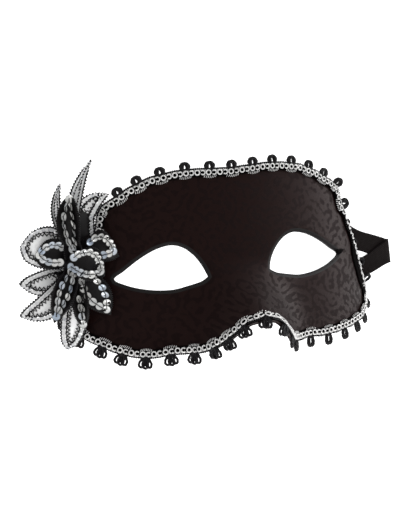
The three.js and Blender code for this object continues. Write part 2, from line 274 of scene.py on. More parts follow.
class Rim:
    """The edge of the face as one closed run, counter-clockwise as the viewer sees it."""

    samples = 420
    inset_least = 0.3
    low_least = 0.45
    table_gap = 0.7
    drop_least = 0.15
    stations = 1600
    smoothing = 6
    temple_from = 45
    side_from, side_full = 0.3, 0.5
    fold_start = 0.3
    fold_radius = 1.0
    fold_turn = Line([(-37, 0), (-33, 22), (-27, 40), (-8, 48), (-2, 68), (11, 68), (15.5, 0)])
    fold_shift = Line([(-37, 0), (-33, 0.5), (-27, 1.5), (-8, 2.0), (-2, 2.4), (11, 2.4), (15.5, 0)])

    def __init__(self, face: FaceForm) -> None:
        """Samples the run and smooths its direction over the corners.

        Args:
            face: The face whose edge it is.
        """
        self.face = face
        run = np.linspace(0, 1, self.samples, endpoint=False)
        angle, y = face.edge(run, run[::3])
        points = face.point(angle, y)
        step = np.linalg.norm(np.roll(points, -1, axis=0) - points, axis=1)
        self.length = float(step.sum())
        at = np.concatenate([[0.0], np.cumsum(step)])
        self.grid = np.linspace(0.0, self.length, self.stations, endpoint=False)
        self.angle = np.interp(self.grid, at, np.append(angle, angle[0]))
        self.y = np.interp(self.grid, at, np.append(y, y[0]))
        even = face.point(self.angle, self.y)
        ahead = np.roll(even, -1, axis=0) - np.roll(even, 1, axis=0)
        ahead = sum(np.roll(ahead, k, axis=0) for k in range(-self.smoothing, self.smoothing + 1))
        normal = face.normal(self.angle, self.y)
        ahead = unit(ahead - normal * np.sum(ahead * normal, axis=1, keepdims=True))
        self.rows = {"along": ahead, "normal": normal, "inward": np.cross(normal, ahead)}

    def read(self, name: str, s: np.ndarray) -> np.ndarray:
        """Direction of one kind.

        Args:
            name: "along", "normal" or "inward".
            s: Distances along the rim.

        Returns:
            One direction for each distance.
        """
        rows = self.rows[name]
        closed = np.vstack([rows, rows[:1]])
        at = np.append(self.grid, self.length)
        s = np.mod(s, self.length)
        return unit(np.stack([np.interp(s, at, closed[:, k]) for k in range(3)], axis=-1))

    def start(self, s: np.ndarray) -> tuple[np.ndarray, np.ndarray]:
        """Where the rim is on the face.

        Args:
            s: Distances along the rim.

        Returns:
            Angles and heights.
        """
        at = np.append(self.grid, self.length)
        s = np.mod(s, self.length)
        return (np.interp(s, at, np.append(self.angle, self.angle[0])),
                np.interp(s, at, np.append(self.y, self.y[0])))

    def clearance(self, s: np.ndarray) -> np.ndarray:
        """How far in from the rim the braid starts, so that it stays clear of the table.

        Args:
            s: Distances along the rim.

        Returns:
            One distance inward for each.
        """
        angle, y = self.start(s)
        drop = np.maximum(self.drop_least, self.read("inward", s)[..., 2])
        return np.maximum(self.inset_least, (self.table_gap - self.face.point(angle, y)[..., 2]) / drop)

    def at(self, s: np.ndarray, inset: float | np.ndarray, lift: float | np.ndarray) -> np.ndarray:
        """Points over the face near its edge.

        Args:
            s: Distances along the rim.
            inset: Distance inward from where the braid starts.
            lift: Height above the face.

        Returns:
            One point for each distance.
        """
        s = np.asarray(s, float)
        angle, y = self.start(s)
        inset, lift = self.fold(s, inset, lift)
        inset = self.clearance(s) + inset
        across, up = self.face.slopes(angle, y)
        inward = self.read("inward", s)
        # The step in angle and in height that moves a point straight inward
        aa, ab, bb = [np.sum(a * b, axis=-1) for a, b in ((across, across), (across, up), (up, up))]
        pa, pb = np.sum(across * inward, axis=-1), np.sum(up * inward, axis=-1)
        det = aa * bb - ab * ab
        da = (pa * bb - pb * ab) / det
        db = (pb * aa - pa * ab) / det
        points = self.face.above(angle + da * inset, y + db * inset, lift)
        points[..., 2] = np.maximum(points[..., 2], self.low_least)
        return points

    def sideways(self, s: np.ndarray) -> np.ndarray:
        """How squarely the rim looks sideways at the right temple.

        Args:
            s: Distances along the rim.

        Returns:
            From 0 to 1, and 0 away from that temple.
        """
        angle, _ = self.start(s)
        side = smoothstep(np.abs(self.read("inward", s)[..., 0]), self.side_from, self.side_full)
        return np.where(angle > self.temple_from, side, 0.0)

    def folding(self, s: np.ndarray) -> np.ndarray:
        """How far round the edge of the right temple the braid is turned, from 0 to 1."""
        _, y = self.start(s)
        return self.fold_turn(y) / self.fold_turn.y.max() * self.sideways(s)

    def fold(self, s: np.ndarray, inset: float | np.ndarray, lift: float | np.ndarray
             ) -> tuple[np.ndarray, np.ndarray]:
        """Turns the braid's cross-section down over the edge of the right temple.

        Args:
            s: Distances along the rim.
            inset: Distances inward from where the braid starts.
            lift: Heights above the face.

        Returns:
            The same distances and heights on the turned cross-section.
        """
        _, y = self.start(s)
        side = self.sideways(s)
        limit = np.radians(self.fold_turn(y)) * side
        along = np.asarray(inset, float) - self.fold_shift(y) * side - self.fold_start
        turn = np.clip(-along / self.fold_radius, 0.0, limit)
        rest = np.maximum(-along - self.fold_radius * turn, 0.0)
        ahead = np.maximum(along, 0.0)
        sine, cosine = np.sin(turn), np.cos(turn)
        new_inset = self.fold_start + ahead - self.fold_radius * sine - rest * cosine - lift * sine
        new_lift = lift * cosine - self.fold_radius * (1 - cosine) - rest * sine
        return new_inset, new_lift


class MeshDraft:
    """Collects the faces of one piece and turns them into a Blender object."""

    def __init__(self) -> None:
        """Starts with no faces."""
        self.points: list[np.ndarray] = []
        self.cloth: list[np.ndarray] = []
        self.faces: list[tuple[np.ndarray, int]] = []
        self.count = 0

    def add(self, points: np.ndarray, faces: np.ndarray, cloth: np.ndarray, finish: int) -> None:
        """Adds vertices and the faces between them.

        Args:
            points: Rows of vertices, in millimetres.
            faces: Rows of vertex numbers, counted from the first of these vertices.
            cloth: Rows of pattern coordinates in millimetres, one for each vertex.
            finish: Number of the material.
        """
        self.points.append(points)
        self.cloth.append(cloth)
        self.faces.append((np.asarray(faces) + self.count, finish))
        self.count += len(points)

    def grid(self, rows: np.ndarray, cloth: np.ndarray, finish: int = 0, loop: bool = False) -> None:
        """Adds a net of vertices, with its last column joined to its first.

        Args:
            rows: Array of shape (rows, columns, 3).
            cloth: Pattern coordinates of shape (rows, columns, 2).
            finish: Number of the material.
            loop: Joins the last row to the first as well.
        """
        count, around = rows.shape[:2]
        row, spot = np.meshgrid(np.arange(count if loop else count - 1), np.arange(around), indexing="ij")
        row, spot = row.ravel(), spot.ravel()
        here, below, beside = row * around, (row + 1) % count * around, (spot + 1) % around
        faces = np.stack([here + spot, here + beside, below + beside, below + spot], axis=1)
        self.add(rows.reshape(-1, 3), faces, cloth.reshape(-1, 2), finish)

    def caps(self, first: int, rows: int, around: int, finish: int = 0) -> None:
        """Closes both ends of a net.

        Args:
            first: Number of the net's first vertex.
            rows: Rows of the net.
            around: Vertices in each row.
            finish: Number of the material.
        """
        ring = np.arange(around)
        ends = np.stack([ring[::-1], (rows - 1) * around + ring])
        self.faces.append((ends + first, finish))

    def tube(self, path: np.ndarray, radius: float | np.ndarray, up: np.ndarray, sides: int,
             closed: bool = False, finish: int = 0) -> None:
        """Adds a round thread along a path.

        Args:
            path: Rows of points.
            radius: Radius, the same all along or one for each point.
            up: A direction across the thread, one or one for each point.
            sides: Faces round the thread.
            closed: Joins the end to the start.
            finish: Number of the material.
        """
        if closed:
            ahead = np.roll(path, -1, axis=0) - np.roll(path, 1, axis=0)
        else:
            ahead = np.gradient(path, axis=0)
        ahead = unit(ahead)
        up = np.broadcast_to(up, path.shape)
        first = unit(up - ahead * np.sum(up * ahead, axis=1, keepdims=True))
        second = np.cross(ahead, first)
        turn = np.linspace(0, 2 * math.pi, sides, endpoint=False)
        radius = np.broadcast_to(np.asarray(radius, float), (len(path),))[:, None, None]
        ring = first[:, None] * np.cos(turn)[None, :, None] + second[:, None] * np.sin(turn)[None, :, None]
        rows = path[:, None] + ring * radius
        along = np.broadcast_to(lengths_along(path)[:, None], rows.shape[:2])
        about = np.broadcast_to((turn / (2 * math.pi))[None, :], rows.shape[:2])
        first_vertex = self.count
        self.grid(rows, np.stack([along, about], axis=-1), finish, loop=closed)
        if not closed:
            self.caps(first_vertex, len(path), sides, finish)

    def build(self, name: str, materials: Sequence[bpy.types.Material]) -> bpy.types.Object:
        """Makes the Blender object.

        Args:
            name: Name of the piece.
            materials: The finishes, in the order of their numbers.

        Returns:
            The object, linked into the scene.
        """
        points = (np.vstack(self.points) + FACE_MIDDLE) * METRE
        faces = [tuple(row) for rows, _ in self.faces for row in rows.tolist()]
        finish = np.concatenate([np.full(len(rows), k) for rows, k in self.faces])
        mesh = bpy.data.meshes.new(name)
        mesh.from_pydata(points.tolist(), [], faces)
        for material in materials:
            mesh.materials.append(material)
        mesh.polygons.foreach_set("material_index", finish.astype(np.int32))
        mesh.polygons.foreach_set("use_smooth", np.full(len(faces), True))
        cloth = np.vstack(self.cloth)
        corner = np.empty(len(mesh.loops), np.int32)
        mesh.loops.foreach_get("vertex_index", corner)
        layer = mesh.uv_layers.new(name="cloth")
        layer.data.foreach_set("uv", cloth[corner].astype(np.float32).ravel())
        mesh.update()
        piece = bpy.data.objects.new(name, mesh)
        bpy.context.scene.collection.objects.link(piece)
        return piece


class Graph:
    """Short hand for placing and joining shader nodes in a material or a group."""

    mix_factor, mix_a, mix_b, mix_result = 0, 6, 7, 2

    def __init__(self, tree: bpy.types.NodeTree) -> None:
        """Works on the given node tree."""
        self.tree = tree

    def node(self, kind: str, settings: dict | None = None, **inputs: object) -> bpy.types.Node:
        """Adds a node.

        Args:
            kind: Blender's class name without its ShaderNode start.
            settings: Properties of the node.
            **inputs: Input sockets by name, underscores for spaces, as a value or a socket.

        Returns:
            The new node.
        """
        node = self.tree.nodes.new("ShaderNode" + kind)
        for key, value in (settings or {}).items():
            setattr(node, key, value)
        for key, value in inputs.items():
            numbered = key[0] == "i" and key[1:].isdigit()
            socket = node.inputs[int(key[1:])] if numbered else node.inputs[key.replace("_", " ")]
            self.feed(value, socket)
        return node

    def feed(self, value: object, socket: bpy.types.NodeSocket) -> None:
        """Joins a socket to another one or sets its value.

        Args:
            value: An output socket or a plain value.
            socket: The input socket.
        """
        if isinstance(value, bpy.types.NodeSocket):
            self.tree.links.new(value, socket)
        else:
            socket.default_value = value

    def math(self, operation: str, a: object, b: object = 0.0, c: object = 0.0) -> bpy.types.NodeSocket:
        """Result of a sum on up to three values.

        Args:
            operation: Blender's name for the sum.
            a: First value or socket.
            b: Second one, where the sum takes two.
            c: Third one, where it takes three.

        Returns:
            The socket with the result.
        """
        node = self.node("Math", {"operation": operation}, i0=a, i1=b)
        if operation == "MULTIPLY_ADD":
            self.feed(c, node.inputs[2])
        return node.outputs[0]

    def ramp(self, value: object, low: float, high: float, out_low: float = 0.0,
             out_high: float = 1.0) -> bpy.types.NodeSocket:
        """Smooth ramp of a value.

        Args:
            value: Value or socket to read.
            low: Where the ramp begins.
            high: Where it ends.
            out_low: Result at its beginning.
            out_high: Result at its end.

        Returns:
            The socket with the result.
        """
        node = self.node("MapRange", {"interpolation_type": "SMOOTHSTEP"}, Value=value)
        limits = {"From Min": low, "From Max": high, "To Min": out_low, "To Max": out_high}
        for name, number in limits.items():
            node.inputs[name].default_value = number
        return node.outputs[0]

    def blend(self, factor: object, a: object, b: object) -> bpy.types.NodeSocket:
        """Colour between two colours.

        Args:
            factor: From 0 for the first to 1 for the second.
            a: First colour or socket.
            b: Second colour or socket.

        Returns:
            The socket with the colour.
        """
        node = self.node("Mix", {"data_type": "RGBA"})
        self.feed(factor, node.inputs[self.mix_factor])
        self.feed(a, node.inputs[self.mix_a])
        self.feed(b, node.inputs[self.mix_b])
        return node.outputs[self.mix_result]


class EffectGroups:
    """The shader node groups that several finishes share, each built once."""

    def __init__(self) -> None:
        """Builds the groups."""
        self.weave = self.make_weave()
        self.scrolls = self.make_scrolls()
        self.twist = self.make_twist()
        self.patches = self.make_patches()

    @staticmethod
    def new_group(name: str, inputs: Sequence[tuple[str, str, object]], outputs: Sequence[tuple[str, str]]
                  ) -> tuple[Graph, bpy.types.Node, bpy.types.Node]:
        """Starts a group.

        Args:
            name: Name of the group.
            inputs: Name, socket kind and default of each input.
            outputs: Name and socket kind of each output.

        Returns:
            The group's graph, its input node and its output node.
        """
        tree = bpy.data.node_groups.new(name, "ShaderNodeTree")
        for label, kind, value in inputs:
            socket = tree.interface.new_socket(name=label, in_out="INPUT", socket_type="NodeSocket" + kind)
            if value is not None:
                socket.default_value = value
        for label, kind in outputs:
            tree.interface.new_socket(name=label, in_out="OUTPUT", socket_type="NodeSocket" + kind)
        graph = Graph(tree)
        return graph, tree.nodes.new("NodeGroupInput"), tree.nodes.new("NodeGroupOutput")

    def make_weave(self) -> bpy.types.NodeTree:
        """Plain weave: over and under threads on the cloth's own coordinates.

        Returns:
            The group, with the height of the weave.
        """
        g, start, end = self.new_group(
            "cloth_weave", [("Cloth", "Vector", None), ("Threads", "Float", 2.5), ("Ribs", "Float", 1.0)],
            [("Height", "Float")])
        split = g.node("SeparateXYZ", Vector=start.outputs["Cloth"])
        pace = g.math("MULTIPLY", start.outputs["Threads"], math.pi)
        pace_up = g.math("MULTIPLY", pace, start.outputs["Ribs"])
        a = g.math("SINE", g.math("MULTIPLY", split.outputs[0], pace))
        b = g.math("SINE", g.math("MULTIPLY", split.outputs[1], pace_up))
        over = g.math("MULTIPLY", a, b)
        ridge_across = g.math("ABSOLUTE", a)
        ridge_along = g.math("MULTIPLY", g.math("ABSOLUTE", b), 0.3)
        ridge = g.math("MULTIPLY_ADD", ridge_across, 0.3, ridge_along)
        g.feed(g.math("MULTIPLY_ADD", over, 0.35, ridge), end.inputs["Height"])
        return g.tree

    def make_scrolls(self) -> bpy.types.NodeTree:
        """Generic brocade scrolls: curling arms that swell into leaves and thin out again.

        Returns:
            The group, with a mask of the scrolls.
        """
        g, start, end = self.new_group(
            "brocade_scrolls", [("Cloth", "Vector", None), ("Repeat", "Float", 8.4)], [("Mask", "Float")])
        scaled = g.node("VectorMath", {"operation": "SCALE"}, i0=start.outputs["Cloth"],
                        Scale=g.math("DIVIDE", 1.0, start.outputs["Repeat"])).outputs[0]
        flow = g.node("TexNoise", {"noise_dimensions": "2D"}, Vector=scaled, Scale=1.0, Detail=0.4)
        swell = g.node("TexNoise", {"noise_dimensions": "2D"}, Vector=scaled, Scale=3.4, Detail=0.0)
        phase = g.math("FRACT", g.math("MULTIPLY", flow.outputs["Fac"], 3.4))
        arm = g.math("ABSOLUTE", g.math("SUBTRACT", phase, 0.5))
        reach = g.math("MULTIPLY_ADD", swell.outputs["Fac"], 0.75, -0.18)
        g.feed(g.ramp(g.math("SUBTRACT", reach, arm), -0.04, 0.06), end.inputs["Mask"])
        return g.tree

    def make_twist(self) -> bpy.types.NodeTree:
        """Plies of a twisted thread, from the distance along it and the turn round it.

        Returns:
            The group, with the height of the plies.
        """
        g, start, end = self.new_group(
            "thread_twist", [("Cloth", "Vector", None), ("Pitch", "Float", 0.9)], [("Height", "Float")])
        split = g.node("SeparateXYZ", Vector=start.outputs["Cloth"])
        along = g.math("DIVIDE", split.outputs[0], start.outputs["Pitch"])
        phase = g.math("FRACT", g.math("MULTIPLY_ADD", split.outputs[1], 2.0, along))
        g.feed(g.math("SINE", g.math("MULTIPLY", phase, math.pi)), end.inputs["Height"])
        return g.tree

    def make_patches(self) -> bpy.types.NodeTree:
        """Slow variation over the object, for uneven dyeing, dust and wear.

        Returns:
            The group, with a value from 0 to 1.
        """
        g, start, end = self.new_group(
            "tone_patches", [("Scale", "Float", 60.0), ("Contrast", "Float", 1.0)], [("Value", "Float")])
        place = g.node("TexCoord").outputs["Object"]
        noise = g.node("TexNoise", Vector=place, Scale=start.outputs["Scale"], Detail=3.0)
        centred = g.math("SUBTRACT", noise.outputs["Fac"], 0.5)
        value = g.math("MULTIPLY_ADD", centred, start.outputs["Contrast"], 0.5)
        g.feed(g.math("MINIMUM", g.math("MAXIMUM", value, 0.0), 1.0), end.inputs["Value"])
        return g.tree


class Pattern(Enum):
    """What a finish shows up close."""

    BROCADE = "brocade"
    WEAVE = "weave"
    THREAD = "thread"
    BOARD = "board"
    DISC = "disc"


@dataclass(frozen=True)
class Finish:
    """Colours and gloss of one surface."""

    name: str
    pattern: Pattern
    colour: tuple[float, float, float]
    second: tuple[float, float, float]
    rough: float
    second_rough: float
    metal: float = 0.0
    sheen: float = 0.0
    specular: float = 0.5
    threads: float = 2.5
    ribs: float = 1.0
    relief: float = 0.05
    patch_scale: float = 60.0
    patch_contrast: float = 1.6
    tint: tuple[float, float, float] = (1.0, 1.0, 1.0)
    # Share of a sequin's colour kept at its outer rim: painted shade for the gaps between overlapping discs,
    # partly their bare edge
    bare_edge_and_shade: float = 0.12
    # Darker towards the root of a petal, where the cloth's second coordinate is low: the colour there and how
    # far its boundary wanders, in mm
    dark_root: bool = False
    root_colour: tuple[float, float, float] = (0.006, 0.005, 0.006)
    root_wander: float = 7.0

    def build(self, groups: EffectGroups) -> bpy.types.Material:
        """Makes the material.

        Args:
            groups: The shared effects.

        Returns:
            The new material.
        """
        material = bpy.data.materials.new(self.name)
        material.use_nodes = True
        g = Graph(material.node_tree)
        surface = material.node_tree.nodes["Principled BSDF"]
        surface.inputs["Metallic"].default_value = self.metal
        surface.inputs["Sheen Weight"].default_value = self.sheen
        surface.inputs["Sheen Roughness"].default_value = 0.4
        surface.inputs["Specular IOR Level"].default_value = self.specular
        surface.inputs["Specular Tint"].default_value = (*self.tint, 1.0)
        cloth = g.node("UVMap", {"uv_map": "cloth"}).outputs[0]
        patches = g.node("Group", {"node_tree": groups.patches})
        patches.inputs["Scale"].default_value = self.patch_scale
        patches.inputs["Contrast"].default_value = self.patch_contrast
        mask = patches.outputs[0]
        height = mask
        if self.pattern is Pattern.BROCADE:
            scroll = g.node("Group", {"node_tree": groups.scrolls}, Cloth=cloth).outputs[0]
            weave = self.weave(g, groups, cloth)
            mask = g.math("MULTIPLY_ADD", mask, 0.12, g.math("MULTIPLY", scroll, 0.94))
            height = g.math("MULTIPLY_ADD", scroll, 0.2, g.math("MULTIPLY", weave, 0.6))
        elif self.pattern is Pattern.WEAVE:
            height = self.weave(g, groups, cloth)
            mask = g.math("MULTIPLY_ADD", height, 0.5, g.math("MULTIPLY", mask, 0.5))
        elif self.pattern is Pattern.DISC:
            split = g.node("SeparateXYZ", Vector=cloth)
            chance = g.node("TexWhiteNoise", {"noise_dimensions": "1D"}, W=split.outputs[0]).outputs["Value"]
            mask = g.ramp(chance, 0.6, 1.0)
        elif self.pattern is Pattern.THREAD:
            height = g.node("Group", {"node_tree": groups.twist}, Cloth=cloth).outputs[0]
            mask = g.math("MULTIPLY_ADD", height, 0.6, g.math("MULTIPLY", mask, 0.4))
        colour = g.blend(mask, (*self.colour, 1.0), (*self.second, 1.0))
        # Sequins darken towards their outer rim: painted shade for the gaps and shadows between overlapping
        # discs, partly the bare edge of each disc
        if self.pattern is Pattern.DISC:
            edge = g.ramp(split.outputs[1], 0.8, 1.0)
            colour = g.blend(edge, colour, (*[c * self.bare_edge_and_shade for c in self.colour], 1.0))
        # Darker towards the root: the root colour covers the first part of the petal, up to an uneven
        # boundary
        elif self.dark_root:
            uneven = g.node("TexNoise", {"noise_dimensions": "2D"}, Vector=cloth, Scale=0.9, Detail=0.0)
            split = g.node("SeparateXYZ", Vector=cloth)
            centred = g.math("SUBTRACT", split.outputs[1], self.root_wander / 2)
            reach = g.math("MULTIPLY_ADD", uneven.outputs["Fac"], self.root_wander, centred)
            colour = g.blend(g.ramp(reach, -0.2, 0.2), (*self.root_colour, 1.0), colour)
        g.feed(colour, surface.inputs["Base Color"])
        g.feed(g.ramp(mask, 0.0, 1.0, self.rough, self.second_rough), surface.inputs["Roughness"])
        bump = g.node("Bump", Height=height, Strength=0.9, Distance=self.relief * METRE)
        g.feed(bump.outputs[0], surface.inputs["Normal"])
        return material

    def weave(self, g: Graph, groups: EffectGroups, cloth: bpy.types.NodeSocket) -> bpy.types.NodeSocket:
        """Height of the weave for this finish's thread count.

        Args:
            g: The material's graph.
            groups: The shared effects.
            cloth: The cloth's own coordinates.

        Returns:
            The socket with the height.
        """
        node = g.node("Group", {"node_tree": groups.weave}, Cloth=cloth)
        node.inputs["Threads"].default_value = self.threads
        node.inputs["Ribs"].default_value = self.ribs
        return node.outputs[0]


@dataclass(frozen=True)
class Wardrobe:
    """Every finish of the mask."""

    brocade: Finish = Finish("black_brocade", Pattern.BROCADE,
                             (0.0062, 0.0018, 0.0015), (0.0034, 0.0006, 0.0006),
                             0.36, 0.58, specular=0.085, tint=(1.0, 0.8, 0.78), threads=3.2)
    # Eye rims: a lighter, greyer black than the brocade, partly the rim cloth's own colour and partly a
    # painted highlight on the rolled edge
    rim_cloth_and_sheen: Finish = Finish("eye_rim_satin_and_sheen", Pattern.WEAVE, (0.009, 0.008, 0.008), (0.003, 0.002, 0.002),
                               0.5, 0.6, specular=0.13, threads=3.2, relief=0.04)
    lining: Finish = Finish("black_lining", Pattern.BOARD, (0.006, 0.006, 0.0065), (0.010, 0.010, 0.011),
                            0.32, 0.5, specular=0.18, patch_scale=420)
    black_thread: Finish = Finish("black_thread", Pattern.THREAD,
                                  (0.002, 0.0015, 0.002), (0.005, 0.004, 0.005),
                                  0.42, 0.34, specular=0.16, relief=0.12)
    silver_thread: Finish = Finish("silver_thread", Pattern.THREAD, (0.30, 0.30, 0.31), (0.95, 0.94, 0.92),
                                   0.36, 0.26, metal=0.15, relief=0.1, patch_scale=260, patch_contrast=2.4)
    ribbon: Finish = Finish("black_ribbon", Pattern.WEAVE, (0.001, 0.0007, 0.0007), (0.002, 0.0015, 0.0015),
                            0.85, 0.75, specular=0.02, threads=2.6)
    elastic: Finish = Finish("black_elastic", Pattern.WEAVE, (0.001, 0.0006, 0.0006), (0.011, 0.0075, 0.0072),
                             0.75, 0.6, sheen=0.008, specular=0.07, threads=1.25, ribs=2.0, relief=0.2)
    silver_organza: Finish = Finish("silver_organza", Pattern.WEAVE, (0.72, 0.72, 0.72), (0.92, 0.92, 0.92),
                                    0.42, 0.3, sheen=0.1, threads=3.0, relief=0.06, dark_root=True)
    black_organza: Finish = Finish("black_organza", Pattern.WEAVE,
                                   (0.002, 0.0015, 0.002), (0.005, 0.004, 0.004),
                                   0.55, 0.42, sheen=0.008, specular=0.12, threads=3.0)
    sequin: Finish = Finish("silver_sequin", Pattern.DISC, (0.74, 0.74, 0.72), (0.40, 0.49, 0.62),
                            0.24, 0.3, metal=0.25, relief=0.02, patch_scale=95, patch_contrast=3.0)
    pale_sequin: Finish = Finish("pale_sequin", Pattern.DISC, (0.82, 0.82, 0.82), (0.56, 0.57, 0.60),
                                 0.3, 0.36, metal=0.2, relief=0.02, bare_edge_and_shade=0.7)


class Closet:
    """Builds each finish once and hands it out."""

    def __init__(self, wardrobe: Wardrobe) -> None:
        """Builds the shared effects.

        Args:
            wardrobe: The finishes to choose from.
        """
        self.wardrobe = wardrobe
        self.groups = EffectGroups()
        self.made: dict[str, bpy.types.Material] = {}

    def get(self, finish: Finish) -> bpy.types.Material:
        """The material of a finish.

        Args:
            finish: The finish wanted.

        Returns:
            Its material, made at the first call.
        """
        if finish.name not in self.made:
            self.made[finish.name] = finish.build(self.groups)
        return self.made[finish.name]


def hand_over(piece: bpy.types.Object, slot: str, node: str | None = None) -> bpy.types.Object:
    """Ties a piece to the part.

    Args:
        piece: The new piece.
        slot: Material slot of the record; not used.
        node: Solid that the piece stands for.

    Returns:
        The piece.
    """
    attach(piece, "root")
    if node:
        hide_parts(node)
    LOG.info("%s: %d faces", piece.name, len(piece.data.polygons))
    return piece


@dataclass
class Studio:
    """Floor, light and camera."""

    distance: float = 761.0
    turn: float = 23.829
    pitch: float = 14.82
    target_height: float = 7.1
    focal_px: float = 1532.7
    frame_width_px: float = 400.0
    frame_height_px: float = 520.0
    target_px: tuple[float, float] = (225.98, 252.96)
    sensor: float = 36.0
    sky: float = 0.9
    table_glow: float = 0.85
    table_light: float = 0.5
    table_half: float = 4.0
    table_white: float = 0.85
    table_rough: float = 0.8
    lamp_size: tuple[float, float] = (1.1, 0.9)
    lamps: tuple[tuple[str, tuple[float, float, float], float], ...] = (
        ("softbox_right", (1.3, 0.4, 0.18), 23.0),
        ("softbox_chin", (-0.2, -1.4, 0.5), 26.0),
    )

    def camera(self) -> None:
        """Places the camera where the photograph was taken from."""
        a, b = math.radians(self.turn), math.radians(self.pitch)
        back = Vector((-math.sin(a) * math.cos(b), math.sin(b), math.cos(a) * math.cos(b)))
        right = Vector((math.cos(a), 0.0, math.sin(a)))
        up = back.cross(right)
        across = self.target_px[0] - self.frame_width_px / 2
        rise = self.frame_height_px / 2 - self.target_px[1]
        seen = Vector((across, rise, -self.focal_px)).normalized()
        swing = seen.rotation_difference(Vector((0.0, 0.0, -1.0))).to_matrix()
        basis = Matrix((right, up, back)).transposed() @ swing
        target = Vector(FACE_MIDDLE) + Vector((0.0, 0.0, self.target_height))
        matrix = basis.to_4x4()
        matrix.translation = (target + back * self.distance) * METRE
        data = bpy.data.cameras.new("camera")
        data.sensor_fit = "HORIZONTAL"
        data.sensor_width = self.sensor
        data.lens = self.focal_px / self.frame_width_px * self.sensor
        data.clip_start = 0.05
        eye = bpy.data.objects.new("camera", data)
        eye.matrix_world = matrix
        bpy.context.scene.collection.objects.link(eye)
        bpy.context.scene.camera = eye

    def lamp(self, name: str, place: tuple[float, float, float], size: tuple[float, float], power: float
             ) -> None:
        """Hangs one soft lamp that faces the mask.

        Args:
            name: Name of the lamp.
            place: Where it hangs, in metres.
            size: Width and height, in metres.
            power: Power in watts.
        """
        data = bpy.data.lights.new(name, "AREA")
        data.shape = "RECTANGLE"
        data.size, data.size_y = size
        data.energy = power
        lamp = bpy.data.objects.new(name, data)
        lamp.location = place
        lamp.rotation_euler = (-Vector(place)).to_track_quat("-Z", "Y").to_euler()
        bpy.context.scene.collection.objects.link(lamp)

    def floor(self) -> None:
        """Lays the plain white floor."""
        mesh = bpy.data.meshes.new("floor")
        r = self.table_half
        mesh.from_pydata([(-r, -r, 0), (r, -r, 0), (r, r, 0), (-r, r, 0)], [], [(0, 1, 2, 3)])
        material = bpy.data.materials.new("white_table")
        material.use_nodes = True
        surface = material.node_tree.nodes["Principled BSDF"]
        surface.inputs["Base Color"].default_value = (*[self.table_white] * 3, 1.0)
        surface.inputs["Roughness"].default_value = self.table_rough
        surface.inputs["Emission Color"].default_value = (1.0, 1.0, 1.0, 1.0)
        g = Graph(material.node_tree)
        seen = g.node("LightPath").outputs["Is Camera Ray"]
        glow = g.math("MULTIPLY_ADD", seen, self.table_glow - self.table_light, self.table_light)
        g.feed(glow, surface.inputs["Emission Strength"])
        mesh.materials.append(material)
        floor = bpy.data.objects.new("floor", mesh)
        bpy.context.scene.collection.objects.link(floor)

    def build(self) -> None:
        """Sets up the whole studio."""
        scene = bpy.context.scene
        scene.view_settings.view_transform = "Standard"
        world = bpy.data.worlds.new("studio")
        scene.world = world
        world.use_nodes = True
        sky = world.node_tree.nodes["Background"]
        sky.inputs[0].default_value = (1.0, 1.0, 1.0, 1.0)
        sky.inputs[1].default_value = self.sky
        for name, place, power in self.lamps:
            self.lamp(name, place, self.lamp_size, power)
        self.floor()


